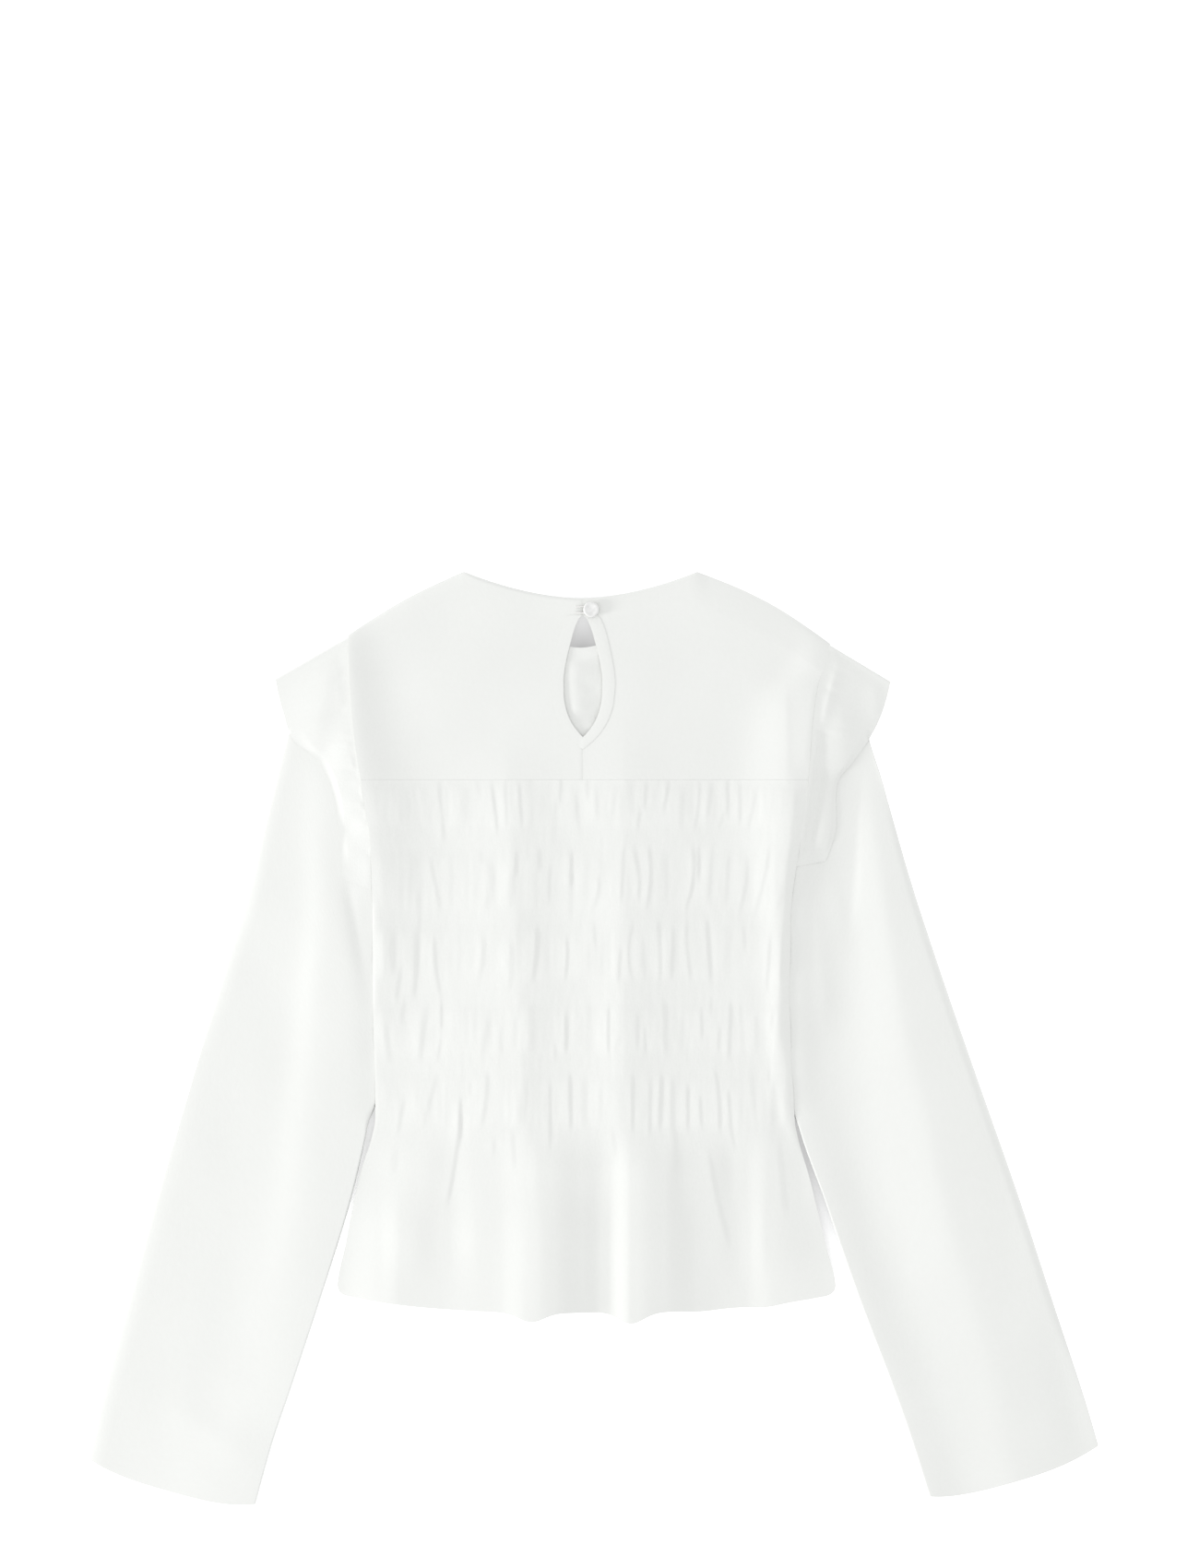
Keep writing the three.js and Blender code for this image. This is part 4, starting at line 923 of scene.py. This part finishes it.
def sleeveShape(side):
    edges = sleeve["edges"][side]

    def shape(across, down):
        section = down * (len(edges) - 1)
        outerOut, outerDrop, innerOut, innerDrop = (curveThrough(column, section) for column in zip(*edges))
        width = np.hypot(outerOut - innerOut, outerDrop - innerDrop)
        isTop = across < 0.5
        turn = np.where(isTop, 2 * across, 2 - 2 * across)
        along = 0.5 - 0.5 * np.cos(math.pi * turn)
        flatOut, flatDrop = lerp(outerOut, innerOut, along), lerp(outerDrop, innerDrop, along)
        chord = lerp(edges[0][0], edges[0][2], along)
        seam = armholeOut(side, lerp(edges[0][1], edges[0][3], along))
        head = np.maximum(0, 1 - section / 3) ** 2
        cuff = smoothStep(down, 0.85, 1)
        toInner = width * (1 - along)
        slit = sleeve["slitDrop"][side]
        tucked = innerOut + seamGap - bodyHalf(side, innerDrop) + sleeve["tuckUnder"]
        tucked = tucked * (1 - smoothStep(innerDrop, slit - 14, slit + 6))
        out = side * (flatOut + seamGap + head * (seam - chord + sleeve["headGap"])
                      - tucked * (1 - smoothStep(toInner, 2, 30)) * (1 - head))
        drop = flatDrop + cuff * sleeve["cuffBow"] * (1 - np.abs(2 * along - 1) ** 3)

        base = sleeve["capRise"] * (1 - smoothStep(section, 3.3, 5))
        half = readAtDrop(sleeve["thickness"][side], drop)[0] / 2
        toOuter = width * along
        innerRound = np.maximum(readAtDrop(sleeve["innerRound"][side], drop)[0], 0.8)
        topRound = roundedEdge(toOuter, sleeve["outerRound"][side]) * roundedEdge(toInner, innerRound)
        seamTop = backHeight(side * (bodyHalf(side, drop) - 0.4), drop) - sheetWall - 0.15
        seamTop = lerp(base + half, seamTop, roundedEdge(toInner, 0.9))
        start = sleeve["joinedFrom"][side]
        toBody = np.maximum(side * out - bodyHalf(side, drop), 0)
        joined = smoothStep(drop, start, start + 18) * (1 - smoothStep(drop, slit - 12, slit + 4))
        joined = joined * np.exp(-(toBody / 11) ** 2)
        underRound = roundedEdge(np.minimum(toOuter, toInner), 4)
        relief = sleeveRelief(side, out, drop, toInner) + foldHeight(sleeve["folds"][side], out, drop)
        relief = relief + unevenness(out, drop, *sleeve["unevenness"], 31 + side, 0.22)
        top = softMax(base + half + (half + relief) * topRound, base + sleeve["least"], 0.1)
        top = lerp(top, seamTop, joined)
        room = np.clip((top - base - 1.25) / 1.5, 0, 1)
        under = base + half - half * underRound + room * foldHeight(sleeve["underFolds"][side], out, drop)
        return out, drop, np.where(isTop, top, under)
    return shape


sleeves = makePair("sleeve", "sleeve", 150, 150, sleeveShape, (260, 520), sheetWall, closed=True)
print("sleeves made")


# frills over the armholes

frill = {
    # where the frill is sewn in, then its free edge: root drop, free out, free drop
    "edge": {
        -1: [
            (46.5, 227, 78.5), (85, 220.5, 103), (115, 213, 124), (139, 196, 138), (163, 184, 161),
            (194, 179, 193), (235, 176.5, 226),
        ],
        1: [
            (53, 227, 80.5), (85, 219.5, 105), (115, 210, 124), (141, 198, 141), (163, 187, 157),
            (192, 186, 190), (217, 178.5, 213),
        ],
    },
    # its root lies under the back's edge on the left, over it on the right: drop, how far it is
    # tucked in, its height from the back's
    "root": {
        -1: [(46.5, 0.9, -0.55), (228, 0.9, -0.55)],
        1: [(53, 0.9, -2.6), (66, 0.9, -0.9), (80, 0.9, 0.36), (217, 0.9, 0.36)],
    },
    # drop and height of its free edge
    "rest": {
        -1: [(46.5, 3.2), (85, 3.4), (115, 4.2), (139, 5.4), (163, 6.8), (194, 7.1), (235, 8)],
        1: [(53, 2.8), (100, 3.2), (115, 3.4), (141, 3.5), (163, 3.6), (192, 3.8), (217, 4.0)],
    },
    "fall": {-1: 1.0, 1: 0.9},  # a power above 1 falls sooner
    "folds": {
        -1: [
            (-182, 124, -21, 24, -0.8, 8, 8, 0, 0.6, 0.3), (-175, 130, -5, 36, 0.45, 9, 9, 0, 0.7, 0.4),
            (-167, 188, -17, 4, -0.7, 8, 8, 0, 0.7, 0.3), (-170, 166, 0, 14, 0.4, 9, 8, 0, 0.6, 0.6),
            (-170, 200, 1, 24, 0.5, 9, 9, 0, 0.6, 0.4), (-186, 66, -11, 54, 1, 18, 10, 0, 0.6, 0.4),
        ],
        1: [
            (186, 74, -19, 68, 0.7, 4, 5, 0, 0.3, 0.3), (175, 112, 1, 44, -1.4, 6, 6, 0, 0.5, 0.3),
            (175, 150, -11, 64, -3, 8, 5, 0, 0.3, 0.2), (190, 100, 4, 50, 1, 9, 12, 0, 0.5, 0.3),
            (214, 84, 2, 24, 0.5, 7, 6, 0, 0.6, 0.5),
        ],
    },
    "settles": {-1: 0.75, 1: 0.84},  # from this share out it comes down on the sleeve
    "wall": 0.24,
    "shares": (0.6, 0.7),  # of its length round the shoulder, where the shown half and the fold end
    "underHeight": 0.5,  # of the half under the fold
    "foldBack": 0.7,  # how far the fold stays back from the shoulder's edge
    "inwards": (0.49, 0.87),  # the way back from that edge at the free end
}


def topOf(piece):
    # a reading of a piece's height from above
    mesh = piece.data
    points = [vertex.co for vertex in mesh.vertices]
    tree = BVHTree.FromPolygons(points, [polygon.vertices for polygon in mesh.polygons])

    def at(out, drop):
        places = toFrame(out, drop, 60)
        flat = places.reshape(-1, 3)
        heights = [tree.ray_cast(Vector(place), Vector((0, 0, -1)))[0] for place in flat]
        heights = np.array([1000 * hit.z if hit else 0.0 for hit in heights])
        return heights.reshape(places.shape[:-1])
    return at


def frillShape(side):
    underHeight = frill["underHeight"]
    rows = frill["edge"][side]
    sleeveTop = topOf(sleeves[side])

    def shown(t, s, onTop=True):
        at = t * (len(rows) - 1)
        rootDrop, freeOut, freeDrop = (curveThrough(column, at) for column in zip(*rows))
        seamOut = side * armholeOut(side, rootDrop)
        tuck, step = readAtDrop(frill["root"][side], rootDrop)
        rootOut = seamOut - side * (tuck if onTop else -0.3)
        out, drop = lerp(rootOut, side * freeOut, s), lerp(rootDrop, freeDrop, s)
        root = backHeight(seamOut, rootDrop) + step
        rest = readAtDrop(frill["rest"][side], rootDrop)[0]
        gathers = unevenness(rootDrop, 30 * s, 4.2, 30, 41 + side, 0.4) * (1 - s) ** 2
        height = rest + (root - rest) * (1 - s) ** frill["fall"][side]
        height = height + (foldHeight(frill["folds"][side], out, drop) + gathers) * smoothStep(s, 0.05, 0.2)
        clear = np.maximum(sleeveTop(out, drop), 0) + frill["wall"] / 2 + 0.07
        height = lerp(height, softMax(height, clear, 0.02), smoothStep(s, 0.01, 0.08))
        settles = smoothStep(s, frill["settles"][side], 1) * smoothStep(rootDrop, 100, 126)
        height = lerp(height, np.minimum(height, clear + 0.05), settles)
        # the lower end lies down on the sleeve
        return out, drop, lerp(height, np.minimum(height, clear + 0.1), smoothStep(t, 0.86, 0.97))

    def shape(across, down):
        s = across ** 1.3
        topShare, foldShare = frill["shares"]
        t = np.clip(1 - down / topShare, 0, 1)
        *place, height = shown(t, s)
        # the fold on the shoulder is a half round, then the under half lies flat
        *edge, edgeHeight = shown(np.zeros_like(s), s)
        radius = (edgeHeight - underHeight) / 2
        inwards = np.array([-side * frill["inwards"][0] * s, lerp(1, frill["inwards"][1], s)])
        inwards = inwards / np.hypot(*inwards)
        turn = math.pi * np.clip((down - topShare) / (foldShare - topShare), 0, 1)
        start = radius + frill["foldBack"]
        fold = edge + inwards * (start - radius * np.sin(turn))
        foldHeights = underHeight + radius * (1 + np.cos(turn))
        under = np.clip((down - foldShare) / (1 - foldShare), 0, 1)
        # both halves ease into the fold
        place = place + inwards * start * (1 - smoothStep(t, 0, 0.1))
        underPlace = shown(under, 0.96 * s, False)[:2] + inwards * start * (1 - smoothStep(under, 0, 0.12))
        zones = [down <= topShare, down <= foldShare]
        out, drop = np.select(zones, [place, fold], underPlace)
        return out, drop, np.select(zones, [height, foldHeights], underHeight)
    return shape


frills = makePair("frill", "frill", 64, 230, frillShape, (60, 420), frill["wall"], offset=0)
print("frills made")


# button and its cord loop

button = {
    "out": 6,
    "drop": 28,
    "shankRadius": 1.6,
    "shankHeight": 1.3,
    # radius and height of the turned head, from its underside to the middle of its dish
    "head": [
        (5, 1.3), (5.55, 1.5), (5.8, 1.95), (5.7, 2.5), (5.2, 2.95), (4.6, 3.1), (4, 2.97), (3.2, 2.7),
        (1.6, 2.58),
    ],
}
loop = {
    "start": -5,  # where its ends are sewn in
    "radius": 0.6,
}


def makeButton():
    base = float(backHeight(button["out"], button["drop"])) + 0.1
    profile = [(button["shankRadius"], 0), (button["shankRadius"], button["shankHeight"])] + button["head"]
    turned = bmesh.new()
    points = [turned.verts.new((r * mm, 0, z * mm)) for r, z in profile]
    edges = [turned.edges.new(pair) for pair in zip(points, points[1:])]
    bmesh.ops.spin(turned, geom=points + edges, cent=(0, 0, 0), axis=(0, 0, 1), angle=2 * math.pi,
                   steps=56, use_merge=True, use_duplicate=False)
    bmesh.ops.remove_doubles(turned, verts=turned.verts, dist=1e-6)
    bmesh.ops.holes_fill(turned, edges=turned.edges, sides=0)
    bmesh.ops.recalc_face_normals(turned, faces=turned.faces)
    middle = toFrame(button["out"], button["drop"], base)
    bmesh.ops.translate(turned, verts=turned.verts, vec=Vector(middle))
    mesh = bpy.data.meshes.new("button")
    turned.to_mesh(mesh)
    turned.free()
    finishPiece("button", mesh, pearl, "button")


def makeLoop():
    base = float(backHeight(0, button["drop"])) + 0.1 + loop["radius"]
    ring = button["shankRadius"] + seamGap + loop["radius"]
    turns = [math.pi / 2 - math.pi * step / 8 for step in range(9)]
    route = [(button["out"] + ring * math.cos(turn), -ring * math.sin(turn)) for turn in turns]
    route = [(loop["start"], -0.8 * ring), *route, (loop["start"], 0.8 * ring)]
    curve = bpy.data.curves.new("buttonLoop", "CURVE")
    curve.dimensions = "3D"
    curve.bevel_depth = loop["radius"] * mm
    curve.bevel_resolution = 4
    curve.use_fill_caps = True
    spline = curve.splines.new("BEZIER")
    spline.bezier_points.add(len(route) - 1)
    for point, (out, aside) in zip(spline.bezier_points, route):
        point.co = toFrame(out, button["drop"] + aside, base)
        point.handle_left_type = point.handle_right_type = "AUTO"
    holder = addObject("loopRoute", curve)
    mesh = bpy.data.meshes.new_from_object(holder.evaluated_get(bpy.context.evaluated_depsgraph_get()))
    bpy.data.objects.remove(holder)
    mesh.name = "buttonLoop"
    finishPiece("buttonLoop", mesh, cordFabric, "button_loop")


cordFabric = makeFabric("twistedCord", fabric["cordColour"], fabric["cordShade"])
makeButton()
makeLoop()
print("button and loop made")

# table top

floorMesh = bpy.data.meshes.new("table")
floorShape = bmesh.new()
bmesh.ops.create_grid(floorShape, x_segments=1, y_segments=1, size=4)
bmesh.ops.translate(floorShape, verts=floorShape.verts, vec=(0, 0, -0.0002))
floorShape.to_mesh(floorMesh)
floorShape.free()
floorMesh.materials.append(makeTable("paleTable"))
addObject("tableTop", floorMesh)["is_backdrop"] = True
low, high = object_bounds()
{"cad": [list(corner) for corner in cadBox], "visual": [list(low), list(high)]}
